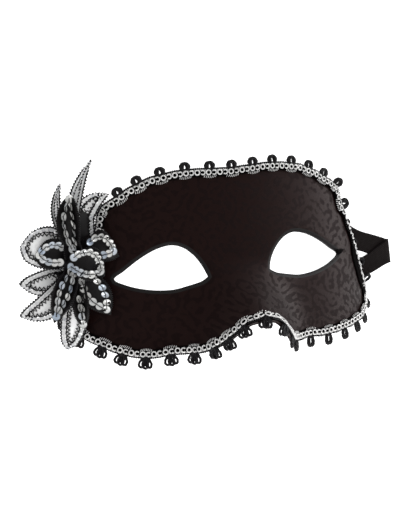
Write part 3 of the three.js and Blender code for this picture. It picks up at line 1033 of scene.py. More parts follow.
@dataclass
class Shell:
    """The brocade face with its lining and its rolled eye rims."""

    face: FaceForm
    closet: Closet
    spacing: float = 1.5
    clear: float = 0.7
    stretch: float = 1.3
    net_across: tuple[float, float] = (-104.0, 104.1)
    net_up: tuple[float, float] = (-46.0, 48.0)
    edge_steps: tuple[int, int] = (130, 60)
    eye_corners: int = 108
    eye_detail: int = 10
    rim_rows: tuple[float, ...] = (0.0, 0.35, 0.9)
    rim_width: float = 1.7
    rim_drop: float = 0.75
    section_reach: float = 80.0
    section_samples: int = 401
    cloth_slope: float = 0.3
    tuck: tuple[tuple[tuple[float, float, float], ...], ...] = (
        ((58.4, -3.6, 0.1), (61.2, -3.7, 0.1), (64.4, -4.4, 0.1)),
        ((58.9, -4.1, 0.8), (61.6, -4.1, 0.7), (64.6, -4.5, 0.25)),
        ((59.5, -4.8, 1.0), (62.2, -4.7, 0.8), (64.7, -4.7, 0.3)),
        ((60.2, -5.5, 0.5), (62.6, -5.4, 0.4), (64.6, -4.9, 0.2)),
        ((60.9, -6.3, 0.1), (62.9, -6.1, 0.1), (64.4, -5.1, 0.1)),
        ((60.9, -6.3, -0.3), (62.9, -6.1, -0.3), (64.4, -5.1, -0.3)),
        ((58.4, -3.6, -0.3), (61.2, -3.7, -0.3), (64.4, -4.4, -0.3)))
    eye: tuple[tuple[float, float], ...] = (
        (16.7, -5.6), (18.4, -1.2), (22, 4), (27, 8), (32.5, 9.5), (38.5, 8.5), (44, 6.2), (50, 2.6),
        (56, -1.9), (60.8, -5.7), (56, -8.3), (49.5, -10.1), (42, -11.1), (34, -11.1), (26.5, -9.5),
        (20.3, -7.7))

    def eye_line(self, side: int, inset: float) -> np.ndarray:
        """Outline of one eye opening.

        Args:
            side: 1 for the right eye and -1 for the left one.
            inset: How far the outline is grown outward.

        Returns:
            Angle and height of each corner.
        """
        curve = spline(np.array([*self.eye, self.eye[0]]), self.eye_detail)
        line = walk(curve, np.linspace(0, lengths_along(curve)[-1], self.eye_corners, endpoint=False))
        ahead = np.roll(line, -1, axis=0) - np.roll(line, 1, axis=0)
        out = unit(np.stack([-ahead[:, 1], ahead[:, 0]], axis=1))
        line = line + out * inset
        angle = np.degrees(np.arcsin(np.clip(line[:, 0] / self.face.half_width, -1, 1)))
        return np.stack([side * angle, line[:, 1]], axis=1)

    def edge_line(self) -> np.ndarray:
        """Outline of the whole face, as angles and heights."""
        run, short = [np.linspace(0, 1, count, endpoint=False) for count in self.edge_steps]
        return np.stack(self.face.edge(run, short), axis=1)

    @staticmethod
    def within(points: np.ndarray, loop: np.ndarray) -> np.ndarray:
        """Whether points lie inside a closed line.

        Args:
            points: Rows of points.
            loop: Corners of the line.

        Returns:
            True or False for each point.
        """
        x, y = points[:, :1], points[:, 1:]
        x0, y0 = loop[:, 0][None], loop[:, 1][None]
        x1, y1 = np.roll(loop[:, 0], -1)[None], np.roll(loop[:, 1], -1)[None]
        rise = np.where(np.abs(y1 - y0) < 1e-12, 1e-12, y1 - y0)
        crosses = ((y0 > y) != (y1 > y)) & (x < (x1 - x0) * (y - y0) / rise + x0)
        return crosses.sum(axis=1) % 2 == 1

    @staticmethod
    def distance(points: np.ndarray, loop: np.ndarray) -> np.ndarray:
        """Distance from points to the nearest corner of a line."""
        gap = np.linalg.norm(points[:, None] - loop[None], axis=2)
        return gap.min(axis=1)

    def section_length(self, angle: np.ndarray) -> np.ndarray:
        """Length of cloth from the middle of the face.

        Args:
            angle: Angles round the level section, in degrees.

        Returns:
            The length to each angle, below 0 on the left.
        """
        t = np.radians(np.linspace(-self.section_reach, self.section_reach, self.section_samples))
        path = np.stack([self.face.half_width * np.sin(t), self.face.section_rise * np.cos(t)], axis=1)
        along = lengths_along(path)
        return np.interp(angle, np.degrees(t), along - along[self.section_samples // 2])

    def net(self) -> tuple[np.ndarray, np.ndarray, np.ndarray, list[list[int]]]:
        """Triangles over the face, cut round the eye openings.

        Returns:
            Angles and heights, drop of each vertex at an eye rim, triangles, and the loops of
            vertex numbers along the outer edge and the two openings.
        """
        edge = self.edge_line() * (self.stretch, 1)
        steps = (*self.rim_rows, self.rim_width)
        eyes = [[self.eye_line(side, d) * (self.stretch, 1) for d in steps] for side in (1, -1)]
        rolled = [self.rim_drop * (1 - math.sin(0.5 * math.pi * d / self.rim_width)) for d in steps]
        loops = [edge, *eyes[0], *eyes[1]]
        drops = [np.zeros(len(edge)), *[np.full(self.eye_corners, depth) for depth in rolled * len(eyes)]]
        across, up = [np.arange(*reach, self.spacing) for reach in (self.net_across, self.net_up)]
        fill = np.stack([k.ravel() for k in np.meshgrid(across, up)], axis=1)
        fill = fill[self.within(fill, edge)]
        fill = fill[self.distance(fill, edge) > self.clear * self.spacing]
        for eye in eyes:
            fill = fill[~self.within(fill, eye[-1])]
            fill = fill[self.distance(fill, eye[-1]) > self.clear * self.spacing]
        points = np.vstack([*loops, fill])
        drop = np.concatenate([*drops, np.zeros(len(fill))])
        ties, rings, first = [], [], 0
        for loop in loops:
            ring = list(range(first, first + len(loop)))
            ties += list(zip(ring, ring[1:] + ring[:1]))
            rings.append(ring)
            first += len(loop)
        result = delaunay_2d_cdt([Vector(p) for p in points], ties, [], 0, 1e-6)
        found, origin = result[0], result[3]
        number = np.array([o[0] if o else -1 for o in origin])
        assert len(found) == len(points) and (number >= 0).all()
        triangles = number[np.array([f for f in result[2] if len(f) == 3])]
        middle = points[triangles].mean(axis=1)
        keep = self.within(middle, edge)
        for eye in eyes:
            keep &= ~self.within(middle, eye[0])
        walls = [rings[0], rings[1], rings[1 + len(steps)]]
        return points / (self.stretch, 1), drop, triangles[keep], walls

    def corner_tuck(self) -> bpy.types.Object:
        """Small pinch where the cloth is folded in at the outer corner of the right eye.

        Returns:
            The piece.
        """
        rails = [spline(np.array(rail, float), 4) for rail in self.tuck]
        x, y, lift = np.array(rails).T
        angle = np.degrees(np.arcsin(x / self.face.half_width))
        net = self.face.above(angle.ravel(), y.ravel(), lift.ravel()).reshape(*x.shape, 3)
        draft = MeshDraft()
        draft.grid(net, np.stack([x, y], axis=-1))
        draft.caps(0, *x.shape)
        piece = draft.build("eye_corner_tuck", [self.closet.get(self.closet.wardrobe.ribbon)])
        return hand_over(piece, "brocade")

    def build(self) -> bpy.types.Object:
        """Makes the face, wall by wall, from one net.

        Returns:
            The piece.
        """
        places, drop, triangles, rings = self.net()
        angle, y = places.T
        front = self.face.above(angle, y, -drop)
        back = self.face.above(angle, y, -self.face.wall)
        sense = np.cross(front[triangles[:, 1]] - front[triangles[:, 0]],
                         front[triangles[:, 2]] - front[triangles[:, 0]])
        outward = self.face.normal(angle, y)[triangles[:, 0]]
        wrong = np.sum(sense * outward, axis=1) < 0
        triangles[wrong] = triangles[wrong][:, ::-1]
        cloth = np.stack([self.section_length(angle), y - self.cloth_slope * front[:, 2]], axis=1)
        rolled = (drop > 1e-6)[triangles].any(axis=1)
        draft = MeshDraft()
        for layer in (front, back):
            layer[:, 2] = np.maximum(layer[:, 2], 0.0)
        draft.add(np.vstack([front, back]), triangles[~rolled], np.vstack([cloth, cloth]), 0)
        # The rolled eye rims take the rim cloth, whose lighter colour is partly a painted highlight
        draft.faces.append((triangles[rolled], 1))
        draft.faces.append((triangles[:, ::-1] + len(front), 2))
        for ring, finish in zip(rings, (0, 1, 1)):
            a = np.array(ring)
            b = np.roll(a, -1)
            wall = np.stack([a, b, b + len(front), a + len(front)], axis=1)
            across = np.cross(front[b[0]] - front[a[0]], back[a[0]] - front[a[0]])
            middle = front[a].mean(axis=0)
            outside = np.dot(across, front[a[0]] - middle) > 0
            turned = outside == (finish == 0)
            draft.faces.append((wall[:, ::-1] if turned else wall, finish))
        wardrobe = self.closet.wardrobe
        finishes = [self.closet.get(f) for f in (wardrobe.brocade, wardrobe.rim_cloth_and_sheen, wardrobe.lining)]
        return hand_over(draft.build("mask_face", finishes), "brocade", "mask_shell")


@dataclass(frozen=True)
class Picot:
    """Sizes of one kind of cord loop: width between its sides, length, narrowness of the foot, strand."""

    width: float
    reach: float
    neck: float
    cord: float


@dataclass
class Braid:
    """The lace braid round the rim: ground, ring chain, stitches and looped picots."""

    rim: Rim
    closet: Closet
    width: float = 4.2
    picots: int = 42
    phase: float = 0.78
    links_a_picot: int = 4
    ground_top: float = 1.15
    ground_samples: int = 1400
    profile: tuple[tuple[float, float], ...] = (
        (0.0, 0.05), (0.0, 0.8), (0.12, 1.0), (0.5, 1.0), (0.7, 1.0), (0.88, 1.0), (1.0, 0.8), (1.0, 0.05))
    margin_and_shade_thinning: float = 0.13
    folded_from: float = 0.3
    ring_reach: float = 1.18
    ring_lift: float = 0.42
    hook_reach: float = 1.08
    hook_lift: float = 0.28
    ring_cord: float = 0.33
    stitch_pitch: float = 0.95
    stitch_cord: float = 0.17
    teeth_a_picot: int = 11
    picot_lift: float = 0.15
    picot_top: float = 3.2
    picot_foot: float = 0.9
    folded_sink: float = 2.2
    folded_shrink: float = 0.65
    brow_above: float = 15.0
    cheek_below: float = 8.0
    picot_samples: int = 27
    ply_pitch: float = 5.0
    plies: int = 3
    brow_picot: Picot = Picot(2.9, 3.8, 0.7, 0.44)
    cheek_picot: Picot = Picot(2.2, 5.7, 0.3, 0.38)
    side_picot: Picot = Picot(2.7, 5.8, 0.5, 0.35)
    drift: Line = field(default_factory=lambda: Line([
        (0, 0), (20, 1), (40, -0.3), (70, 0.9), (80, 0.6), (90, -1.3), (101, -3), (113, -2.7),
        (147, -0.6), (160, 1.8), (182, 3), (194, 2.8), (215, 0.6), (228, 0), (275, 0), (297, -1.2),
        (320, -2.3), (366, -2.8), (378, -1.5), (400, -0.5), (412, -1.2), (430, 0)]))
    # Inward width added to the band at the right temple, by height: partly the braid's margin, partly painted
    # shade where the brocade curves away
    margin: Line = field(default_factory=lambda: Line([
        (-37, 0), (-33, 1.2), (-28, 2.2), (-20, 2.8), (-12, 2.8), (-7, 2.2), (-3, 0)]))

    def scallop(self, s: np.ndarray) -> np.ndarray:
        """Wave of the outer edge, which swells inward opposite each picot."""
        return 0.35 * np.cos(2 * math.pi * ((s - self.drift(s)) / self.rim.length * self.picots - self.phase))

    def places(self) -> np.ndarray:
        """Distances along the rim where the picots are sewn, not quite at even steps."""
        s = (np.arange(self.picots) + self.phase) * self.rim.length / self.picots
        return s + self.drift(s)

    def ground(self) -> bpy.types.Object:
        """Black band under the chain, scalloped outside and with a wide margin at the right temple, partly
        the braid's folded margin and partly painted shade where the brocade curves away.

        Returns:
            The piece.
        """
        s = np.linspace(0, self.rim.length, self.ground_samples, endpoint=False)
        near, far = self.scallop(s) + 0.45, self.width - 0.15
        _, y = self.rim.start(s)
        # At the right temple the black band reaches further inward: painted shade where the brocade curves
        # away, partly the braid's own margin
        margin_and_shade = self.margin(y) * smoothstep(self.rim.folding(s), 0.0, self.folded_from)
        rows = []
        for w, h in self.profile:
            wider = smoothstep(w, 0.4, 1.0)
            inset = near + (far - near) * w + margin_and_shade * wider
            height = h * self.ground_top * (1 - self.margin_and_shade_thinning * margin_and_shade * wider)
            rows.append(self.rim.at(s, inset, 0.04 + height))
        net = np.stack(rows, axis=1)
        across = np.array([w for w, _ in self.profile]) * self.width
        cloth = np.stack(np.broadcast_arrays(s[:, None], across[None, :]), axis=-1)
        draft = MeshDraft()
        draft.grid(net, cloth, loop=True)
        piece = draft.build("braid_ground", [self.closet.get(self.closet.wardrobe.ribbon)])
        return hand_over(piece, "silver_braid", "edge_braid")

    def chain(self) -> bpy.types.Object:
        """Silver thread rings, every second one open like a hook.

        Returns:
            The piece.
        """
        draft = MeshDraft()
        links = self.picots * self.links_a_picot
        pitch = self.rim.length / links
        middle = self.width / 2 - 0.1
        ring = (np.linspace(0, 2 * math.pi, 16, endpoint=False), self.ring_reach, self.ring_lift)
        hook = (np.linspace(0.22, 1.78, 13) * math.pi, self.hook_reach, self.hook_lift)
        for k in range(links):
            is_hook = k % 2 == 1
            turn, reach, rise = hook if is_hook else ring
            s = (k + 0.5) * pitch + reach * np.cos(turn)
            inset = middle + reach * 0.96 * np.sin(turn)
            lift = self.ground_top + rise + 0.08 * np.cos(turn)
            path = self.rim.at(s, inset, lift)
            draft.tube(path, self.ring_cord, self.rim.read("normal", s), 7, closed=not is_hook)
        piece = draft.build("braid_ring_chain", [self.closet.get(self.closet.wardrobe.silver_thread)])
        return hand_over(piece, "silver_braid")

    def stitches(self) -> bpy.types.Object:
        """Fans of short silver stitches along the inner edge, black where the braid is folded, which is
        painted shade for the dark band at the right temple.

        Returns:
            The piece.
        """
        draft = MeshDraft()
        for place in self.places():
            for j in range(-3, 4):
                s0 = place + j * self.stitch_pitch
                swell = 0.55 * math.cos(j / 3.4 * math.pi / 2)
                s = np.array([s0, s0 + 0.2, s0 + 0.42])
                inset = self.width - 1.0 + swell + np.array([0.0, 0.5, 1.0])
                path = self.rim.at(s, inset, self.ground_top + np.array([0.12, 0.24, -0.1]))
                # Stitches on the folded braid at the right temple are black: painted shade
                plain = int(self.rim.folding(s)[0] > self.folded_from)
                draft.tube(path, self.stitch_cord, self.rim.read("normal", s), 5, finish=plain)
        wardrobe = self.closet.wardrobe
        finishes = [self.closet.get(wardrobe.silver_thread), self.closet.get(wardrobe.black_thread)]
        piece = draft.build("braid_inner_stitches", finishes)
        return hand_over(piece, "silver_braid")

    def zigzag(self) -> bpy.types.Object:
        """Black thread that runs to and fro along the scalloped outer edge, and its silver partner.

        Returns:
            The piece.
        """
        draft = MeshDraft()
        turns = np.arange(self.picots * self.teeth_a_picot * 2)
        s = turns * self.rim.length / len(turns)
        scallop = self.scallop(s)
        swing = np.where(turns % 2 == 0, -0.55, 0.45)
        up = self.rim.read("normal", s)
        draft.tube(self.rim.at(s, 0.35 + scallop + swing, 1.0), 0.26, up, 5, closed=True)
        partner = 0.95 + scallop * 0.6 - swing * 0.6
        draft.tube(self.rim.at(s, partner, 1.32), 0.15, up, 5, closed=True, finish=1)
        wardrobe = self.closet.wardrobe
        finishes = [self.closet.get(wardrobe.black_thread), self.closet.get(wardrobe.silver_thread)]
        return hand_over(draft.build("braid_outer_zigzag", finishes), "silver_braid")

    def loop(self, draft: MeshDraft, s0: float, lean: float, lift: float, shape: Picot) -> None:
        """Adds one loop of three twisted strands.

        Args:
            draft: Collects the strands.
            s0: Distance along the rim.
            lean: Turn of the loop in its own plane, in degrees.
            lift: Height above the face.
            shape: Sizes of the loop.
        """
        s = np.array([s0])
        turned = float(self.rim.folding(s)[0])
        reach = shape.reach * (1 - self.folded_shrink * turned)
        foot = self.rim.at(s, self.picot_foot, lift)[0]
        out = -self.rim.read("inward", s)[0]
        rise = (self.picot_top - self.folded_sink * turned - foot[2]) / (reach + 1.0)
        out = unit(np.array([out[0], out[1], max(min(out[2], self.picot_lift), rise)]))
        along = self.rim.read("along", s)[0]
        side = unit(along - out * np.dot(along, out))
        flat = np.cross(side, out)
        a = math.radians(lean)
        side, out = side * math.cos(a) - out * math.sin(a), out * math.cos(a) + side * math.sin(a)
        turn = np.linspace(0, 2 * math.pi, self.picot_samples)
        y = reach * (1 - np.cos(turn)) / 2
        swell = (shape.neck + (1 - shape.neck) * (1 - np.cos(turn)) / 2) * 2 / (1 + shape.neck)
        x = -(shape.width / 2) * np.sin(turn) * swell
        x = x + np.linspace(-0.3, 0.3, self.picot_samples)
        path = foot + np.outer(x, side) + np.outer(y, out)
        ahead = unit(np.gradient(path, axis=0))
        first = np.broadcast_to(flat, path.shape)
        second = np.cross(ahead, first)
        along_path = lengths_along(path)
        for strand in range(self.plies):
            spin = (2 * math.pi * (along_path / self.ply_pitch + strand / self.plies))[:, None]
            offset = (first * np.cos(spin) + second * np.sin(spin)) * shape.cord * 0.96
            draft.tube(path + offset, shape.cord, flat + 0.001, 6)

    def picot_loops(self) -> bpy.types.Object:
        """Black cord loops, in threes at the brow and the left cheek and in twos elsewhere.

        Returns:
            The piece.
        """
        draft = MeshDraft()
        for k, place in enumerate(self.places()):
            angle, y = self.rim.start(np.array([place]))
            if y[0] > self.brow_above:
                shape, leans = self.brow_picot, (-16, 14, -2)
            elif angle[0] < self.cheek_below:
                shape, leans = self.cheek_picot, (-25, 24, 0)
            else:
                shape, leans = self.side_picot, (-7, 6)
            for n, lean in enumerate(leans):
                self.loop(draft, place, lean + 4 * math.sin(2.1 * k), 0.5 + 0.3 * n, shape)
        piece = draft.build("braid_picots", [self.closet.get(self.closet.wardrobe.black_thread)])
        return hand_over(piece, "silver_braid")

    def build(self) -> list[bpy.types.Object]:
        """Makes every layer of the braid."""
        return [self.ground(), self.chain(), self.stitches(), self.zigzag(), self.picot_loops()]


@dataclass
class Strap:
    """Flat woven elastic from temple to temple, lying behind the mask."""

    face: FaceForm
    closet: Closet
    width: float = 10.0
    thickness: float = 0.7
    level: float = 0.6
    gap: float = 0.5
    steps: int = 8
    columns: int = 13

    def glued(self, angle: float, y: float) -> tuple[np.ndarray, np.ndarray]:
        """Both edges of the strap where it is glued inside a temple.

        Args:
            angle: Angle round the level section, in degrees.
            y: Height.

        Returns:
            A point on each edge.
        """
        back = self.face.wall + self.gap + self.thickness / 2
        half = self.width / 2
        return self.face.above(angle, y + half, -back), self.face.above(angle, y - half, -back)

    def lying(self, x: float, y: float, turn: float, half: float | None = None, z: float | None = None
              ) -> tuple[np.ndarray, np.ndarray]:
        """Both edges of the strap where it lies on the table.

        Args:
            x: Place of its middle across the face.
            y: Place of its middle up the face.
            turn: Turn of the strap in degrees.
            half: Half of its width, where it differs.
            z: Height of its middle, where it differs.

        Returns:
            A point on each edge.
        """
        half = self.width / 2 if half is None else half
        z = self.level if z is None else z
        a = math.radians(turn)
        offset = np.array([-half * math.sin(a), half * math.cos(a), 0.0])
        middle = np.array([x, y, z])
        return middle + offset, middle - offset

    def route(self) -> np.ndarray:
        """Edges of the strap, from the right temple round to the left one.

        Returns:
            Both edges at each station.
        """
        lying, glued = self.lying, self.glued
        return np.array([
            glued(50, -17), glued(55, -17), glued(60, -17), glued(64, -17),
            lying(75.5, -17.4, 2), lying(79, -17.6, 8), lying(84, -16.6, 24, 5.2, 0.8),
            lying(90.6, -12.8, 24, 5.6, 1.45), lying(94.8, -10.7, 12, 6.2, 1.65),
            lying(96.1, -10.4, 8, 6.5, 1.1), lying(94.8, -10.2, 4, 6.2, 0.55),
            lying(89.6, -7.8, -22, 5.4), lying(83, -5, -20), lying(78, -3.2, -20), lying(72, 0, -32),
            lying(65.5, 5, -38), lying(58, 10.6, -34), lying(48, 16.2, -25), lying(36, 20.3, -13),
            lying(22, 22, -2), lying(6, 22, 0), lying(-12, 22, 1), lying(-28, 21, 7),
            lying(-42, 18, 14), lying(-52, 14.6, 16), lying(-58.5, 12.4, 14, 5, 1.5),
            glued(-48, 10.6), glued(-44, 10.4), glued(-39, 10.3),
        ])

    def build(self) -> bpy.types.Object:
        """Returns:
            The piece.
        """
        stations = self.route()
        a, b = spline(stations[:, 0], self.steps), spline(stations[:, 1], self.steps)
        middle = (a + b) / 2
        along = unit(np.gradient(middle, axis=0))
        half = unit(np.cross(along, a - b)) * self.thickness / 2
        across = np.linspace(0, 1, self.columns)[None, :, None]
        top = (a + half)[:, None] * (1 - across) + (b + half)[:, None] * across
        bottom = (b - half)[:, None] * (1 - across) + (a - half)[:, None] * across
        net = np.concatenate([top, bottom], axis=1)
        run = lengths_along(middle)
        place = np.concatenate([across[0, :, 0], 1 - across[0, :, 0]]) * self.width
        cloth = np.stack(np.broadcast_arrays(place[None, :], run[:, None]), axis=-1)
        draft = MeshDraft()
        draft.grid(net, cloth)
        draft.caps(0, *net.shape[:2])
        piece = draft.build("elastic_band", [self.closet.get(self.closet.wardrobe.elastic)])
        hand_over(piece, "elastic", "elastic_strap")
        path = (middle + FACE_MIDDLE) * METRE
        LOG.info("strap length %.1f mm", run[-1])
        tuple(path[0])
        [tuple(p) for p in path]
        return piece


class PetalKind(Enum):
    """Cloth of a petal."""

    SILVER = "silver"
    BLACK = "black"


@dataclass
class Petal:
    """One sewn petal with its stitched edge, its threads and its sequins."""

    name: str
    kind: PetalKind
    level: float
    mid: tuple[float, float, float]
    tip: tuple[float, float, float]
    width: float
    start: float = 3.0
    fullness: float = 0.8
    cup: float = 1.0
    base: float = 1.0
    margin: float = 0.0
    spread: float = 0.0
    fan_end: float = 0.6
    black_part: float = 0.3
    row_inset: float = 1.6
    row_from: float = 0.1
    row_lift: float = 0.55
    disc: float = 1.05
    disc_pitch: float = 1.35
    roll: float = 0.0
    fringe_from: float = 9.0
    thickness: float = 0.2
    cloth_rows: int = 45
    cloth_columns: int = 19
    disc_sides: int = 16
    disc_lean: float = 13.0
    disc_profile: tuple[tuple[float, float], ...] = (
        (0.15, -0.06), (0.45, -0.08), (0.6, 0.0), (0.9, 0.16), (1.0, 0.2))
    heart: tuple[float, float, float] = (-77.8, 5.0, 8.4)
    facing: tuple[float, float, float] = (-0.36, 0.1, 0.93)

    def __post_init__(self) -> None:
        """Works out the midline."""
        heart, mid, self.end = np.array(self.heart), np.array(self.mid), np.array(self.tip, float)
        self.face = unit(np.array(self.facing))
        towards = mid - heart
        towards = unit(towards - self.face * np.dot(towards, self.face))
        self.root = heart + self.face * self.level + towards * self.start
        self.bend = 2 * mid - 0.5 * (self.root + self.end)
        self.side = unit(np.cross(self.end - self.root, self.face))
        self.length = float(lengths_along(self.line(np.linspace(0, 1, 40)))[-1])
        self.silver = self.kind is PetalKind.SILVER
        self.slot = "silver_organza" if self.silver else "black_organza"

    def line(self, s: np.ndarray) -> np.ndarray:
        """Points of the midline."""
        s = np.asarray(s, float)[..., None]
        return (1 - s) ** 2 * self.root + 2 * s * (1 - s) * self.bend + s**2 * self.end

    def normal(self, s: np.ndarray) -> np.ndarray:
        """Upward direction along the midline.

        Args:
            s: Places along the midline from 0 to 1.

        Returns:
            One direction for each place.
        """
        s = np.asarray(s, float)[..., None]
        ahead = unit(2 * (1 - s) * (self.bend - self.root) + 2 * s * (self.end - self.bend))
        return unit(np.cross(np.broadcast_to(self.side, ahead.shape), ahead))

    def half(self, s: np.ndarray, grown: float = 0.0) -> np.ndarray:
        """Half width of the petal along its midline.

        Args:
            s: Places along the midline.
            grown: Width added all round, past the tip as well.

        Returns:
            The half width in millimetres.
        """
        t = np.clip(s / (1 + grown / self.length), 0, 1)
        swell = (self.width / 2 + grown) * np.sin(math.pi * t) ** self.fullness
        fan = self.spread * (1 - smoothstep(t, 0.0, self.fan_end))
        return np.maximum(np.maximum(swell, self.base + (0.3 - self.base) * t), fan)

    def spot(self, s: np.ndarray, across: np.ndarray, lift: float | np.ndarray) -> np.ndarray:
        """Points of the petal.

        Args:
            s: Places along the midline from 0 to 1.
            across: Distances from the midline.
            lift: Height above the middle of the cloth.

        Returns:
            One point for each place.
        """
        s, across = np.broadcast_arrays(np.asarray(s, float), np.asarray(across, float))
        half = self.half(s)
        w = np.clip(np.abs(across) / half, 0, 1.25)
        rise = lift + self.cup * 2 * half / self.width * w * w
        return self.line(s) + self.side * across[..., None] + self.normal(s) * rise[..., None]

    def upright(self, s: np.ndarray, across: np.ndarray) -> np.ndarray:
        """Directions straight out of the cupped cloth.

        Args:
            s: Places along the midline from 0 to 1.
            across: Distances from the midline.

        Returns:
            One direction for each place.
        """
        step = 0.02
        ahead = self.spot(s + step, across, 0.0) - self.spot(s - step, across, 0.0)
        aside = self.spot(s, across + 0.1, 0.0) - self.spot(s, across - 0.1, 0.0)
        return unit(np.cross(aside, ahead))

    def round_line(self, inset: float, grown: float, begin: float) -> tuple[np.ndarray, np.ndarray]:
        """Places of a line that runs round the petal from its root over the tip and back.

        Args:
            inset: Distance in from the edge.
            grown: Width added all round.
            begin: Where the line begins along the midline.

        Returns:
            Places along and distances across.
        """
        top = 1 + (grown - inset) / self.length
        s = begin + (0.5 - 0.5 * np.cos(np.linspace(0, math.pi, 60))) * (top - begin)
        half = self.half(s, grown)
        if not grown and self.margin:
            leaf = self.width / 2 * np.sin(math.pi * np.clip(s, 0, 1)) ** self.fullness
            half = np.minimum(half, leaf + 0.4)
        across = np.maximum(half - inset, 0.0)
        across = across * np.sqrt(np.clip((top - s) / (0.12 * top), 0, 1))
        return np.concatenate([s, s[::-1][1:]]), np.concatenate([-across, across[::-1][1:]])

    def even(self, inset: float, grown: float, begin: float, pitch: float, lift: float
             ) -> tuple[np.ndarray, np.ndarray, np.ndarray]:
        """Evenly spaced points of a line round the petal.

        Args:
            inset: Distance in from the edge.
            grown: Width added all round.
            begin: Where the line begins along the midline.
            pitch: Distance between the points.
            lift: Height above the cloth.

        Returns:
            The points, the directions out of the cloth and the directions along the line.
        """
        s, across = self.round_line(inset, grown, begin)
        path = self.spot(s, across, lift)
        along = lengths_along(path)
        at = np.linspace(0, along[-1], max(4, round(along[-1] / pitch)))
        points = walk(path, at)
        up = self.upright(np.interp(at, along, s), np.interp(at, along, across))
        return points, up, unit(np.gradient(points, axis=0))

    def cloth(self, closet: Closet) -> bpy.types.Object:
        """The cupped leaf of cloth.

        Args:
            closet: Hands out the finishes.

        Returns:
            The piece.
        """
        s = np.linspace(0, 1 + self.margin / self.length, self.cloth_rows)[:, None]
        w = np.linspace(-1, 1, self.cloth_columns)[None, :]
        across = self.half(s, self.margin) * w
        front = self.spot(s, across, self.thickness)
        back = self.spot(s, across[:, ::-1], -self.thickness)
        net = np.concatenate([front, back], axis=1)
        across = np.concatenate([across, across[:, ::-1]], axis=1)
        along = np.broadcast_to((s - self.black_part) * self.length, across.shape)
        draft = MeshDraft()
        draft.grid(net, np.stack([across, along], axis=-1))
        draft.caps(0, *net.shape[:2])
        wardrobe = closet.wardrobe
        finish = wardrobe.silver_organza if self.silver else wardrobe.black_organza
        piece = draft.build(f"petal_{self.name}", [closet.get(finish)])
        return hand_over(piece, self.slot, self.name.replace("_", "_petal_", 1))

    def zigzag(self, draft: MeshDraft, inset: float, swing: float, pitch: float, radius: float,
               lift: float, ragged: float = 0.0) -> None:
        """Adds a thread that runs to and fro round the petal.

        Args:
            draft: Collects the thread.
            inset: Distance in from the edge.
            swing: Reach of the stitches to each side.
            pitch: Length of one stitch to and fro.
            radius: Radius of the thread.
            lift: Height above the cloth.
            ragged: How much the stitches differ, from 0 to 1.
        """
        points, up, ahead = self.even(inset, self.margin, 0.06, pitch / 2, lift)
        out = np.cross(ahead, up)
        k = np.arange(len(points))
        reach = 1 - ragged * (0.5 + 0.5 * np.sin(2.3 * k) * np.cos(0.9 * k + self.width))
        points = points + out * (swing * reach * np.where(k % 2 == 0, 1 - ragged, -1 - ragged))[:, None]
        draft.tube(points, radius, up, 5)

    def stitching(self, closet: Closet) -> bpy.types.Object:
        """Black satin stitch along the edge, with a vein and a ragged fringe inside the silver ones.

        Args:
            closet: Hands out the finishes.

        Returns:
            The piece.
        """
        draft = MeshDraft()
        if self.silver:
            vein, fringe = min(2.7, self.width * 0.3), min(4.4, self.width * 0.36)
            self.zigzag(draft, inset=0.15, swing=0.5, pitch=1.5, radius=0.36, lift=0.12)
            self.zigzag(draft, inset=0.4, swing=0.1, pitch=2.2, radius=0.34, lift=0.3)
            self.zigzag(draft, inset=vein, swing=0.15, pitch=1.5, radius=0.42, lift=0.45)
            if self.width > self.fringe_from:
                self.zigzag(draft, inset=fringe, swing=1.1, pitch=1.9, radius=0.4, lift=0.4, ragged=0.75)
        else:
            self.zigzag(draft, inset=0.2, swing=0.4, pitch=1.0, radius=0.22, lift=0.12)
        piece = draft.build(f"petal_{self.name}_stitching", [closet.get(closet.wardrobe.black_thread)])
        return hand_over(piece, "black_organza")

    def sequins(self, closet: Closet) -> bpy.types.Object:
        """Row of cupped sequins round the petal, with the thread that holds the black petals' ones.

        Args:
            closet: Hands out the finishes.

        Returns:
            The piece.
        """
        draft = MeshDraft()
        pitch = self.disc * self.disc_pitch
        centre, up, ahead = self.even(self.row_inset, 0.0, self.row_from, pitch, self.row_lift)
        turn = np.linspace(0, 2 * math.pi, self.disc_sides, endpoint=False)
        lean, roll = math.radians(self.disc_lean), math.radians(self.roll)
        seed = sum(ord(letter) for letter in self.name)
        for k in range(len(centre)):
            n = unit(up[k] - ahead[k] * np.dot(up[k], ahead[k]))
            n = n * math.cos(roll) - np.cross(n, ahead[k]) * math.sin(roll)
            wobble = 0.16 * math.sin(seed + 2.7 * k) + 0.1 * math.sin(5.1 * k)
            n = unit(n * math.cos(lean) + ahead[k] * math.sin(lean) + np.cross(n, ahead[k]) * wobble)
            e = unit(ahead[k] - n * np.dot(ahead[k], n))
            f = np.cross(n, e)
            size = self.disc * (1 + 0.04 * math.sin(3.3 * k + seed))
            ring = [e * math.cos(t) + f * math.sin(t) for t in turn]
            net = np.array([[centre[k] + r * size * q + n * h * size for r in ring]
                            for q, h in self.disc_profile])
            cloth = np.empty((len(self.disc_profile), len(turn), 2))
            cloth[..., 0] = seed * 0.37 + k * 1.9
            cloth[..., 1] = np.array([q for q, _ in self.disc_profile])[:, None]
            draft.grid(net, cloth)
        wardrobe = closet.wardrobe
        if self.silver:
            finishes = [closet.get(wardrobe.pale_sequin)]
        else:
            self.thread(draft, centre, up)
            finishes = [closet.get(wardrobe.sequin), closet.get(wardrobe.black_thread)]
        return hand_over(draft.build(f"petal_{self.name}_sequins", finishes), self.slot)

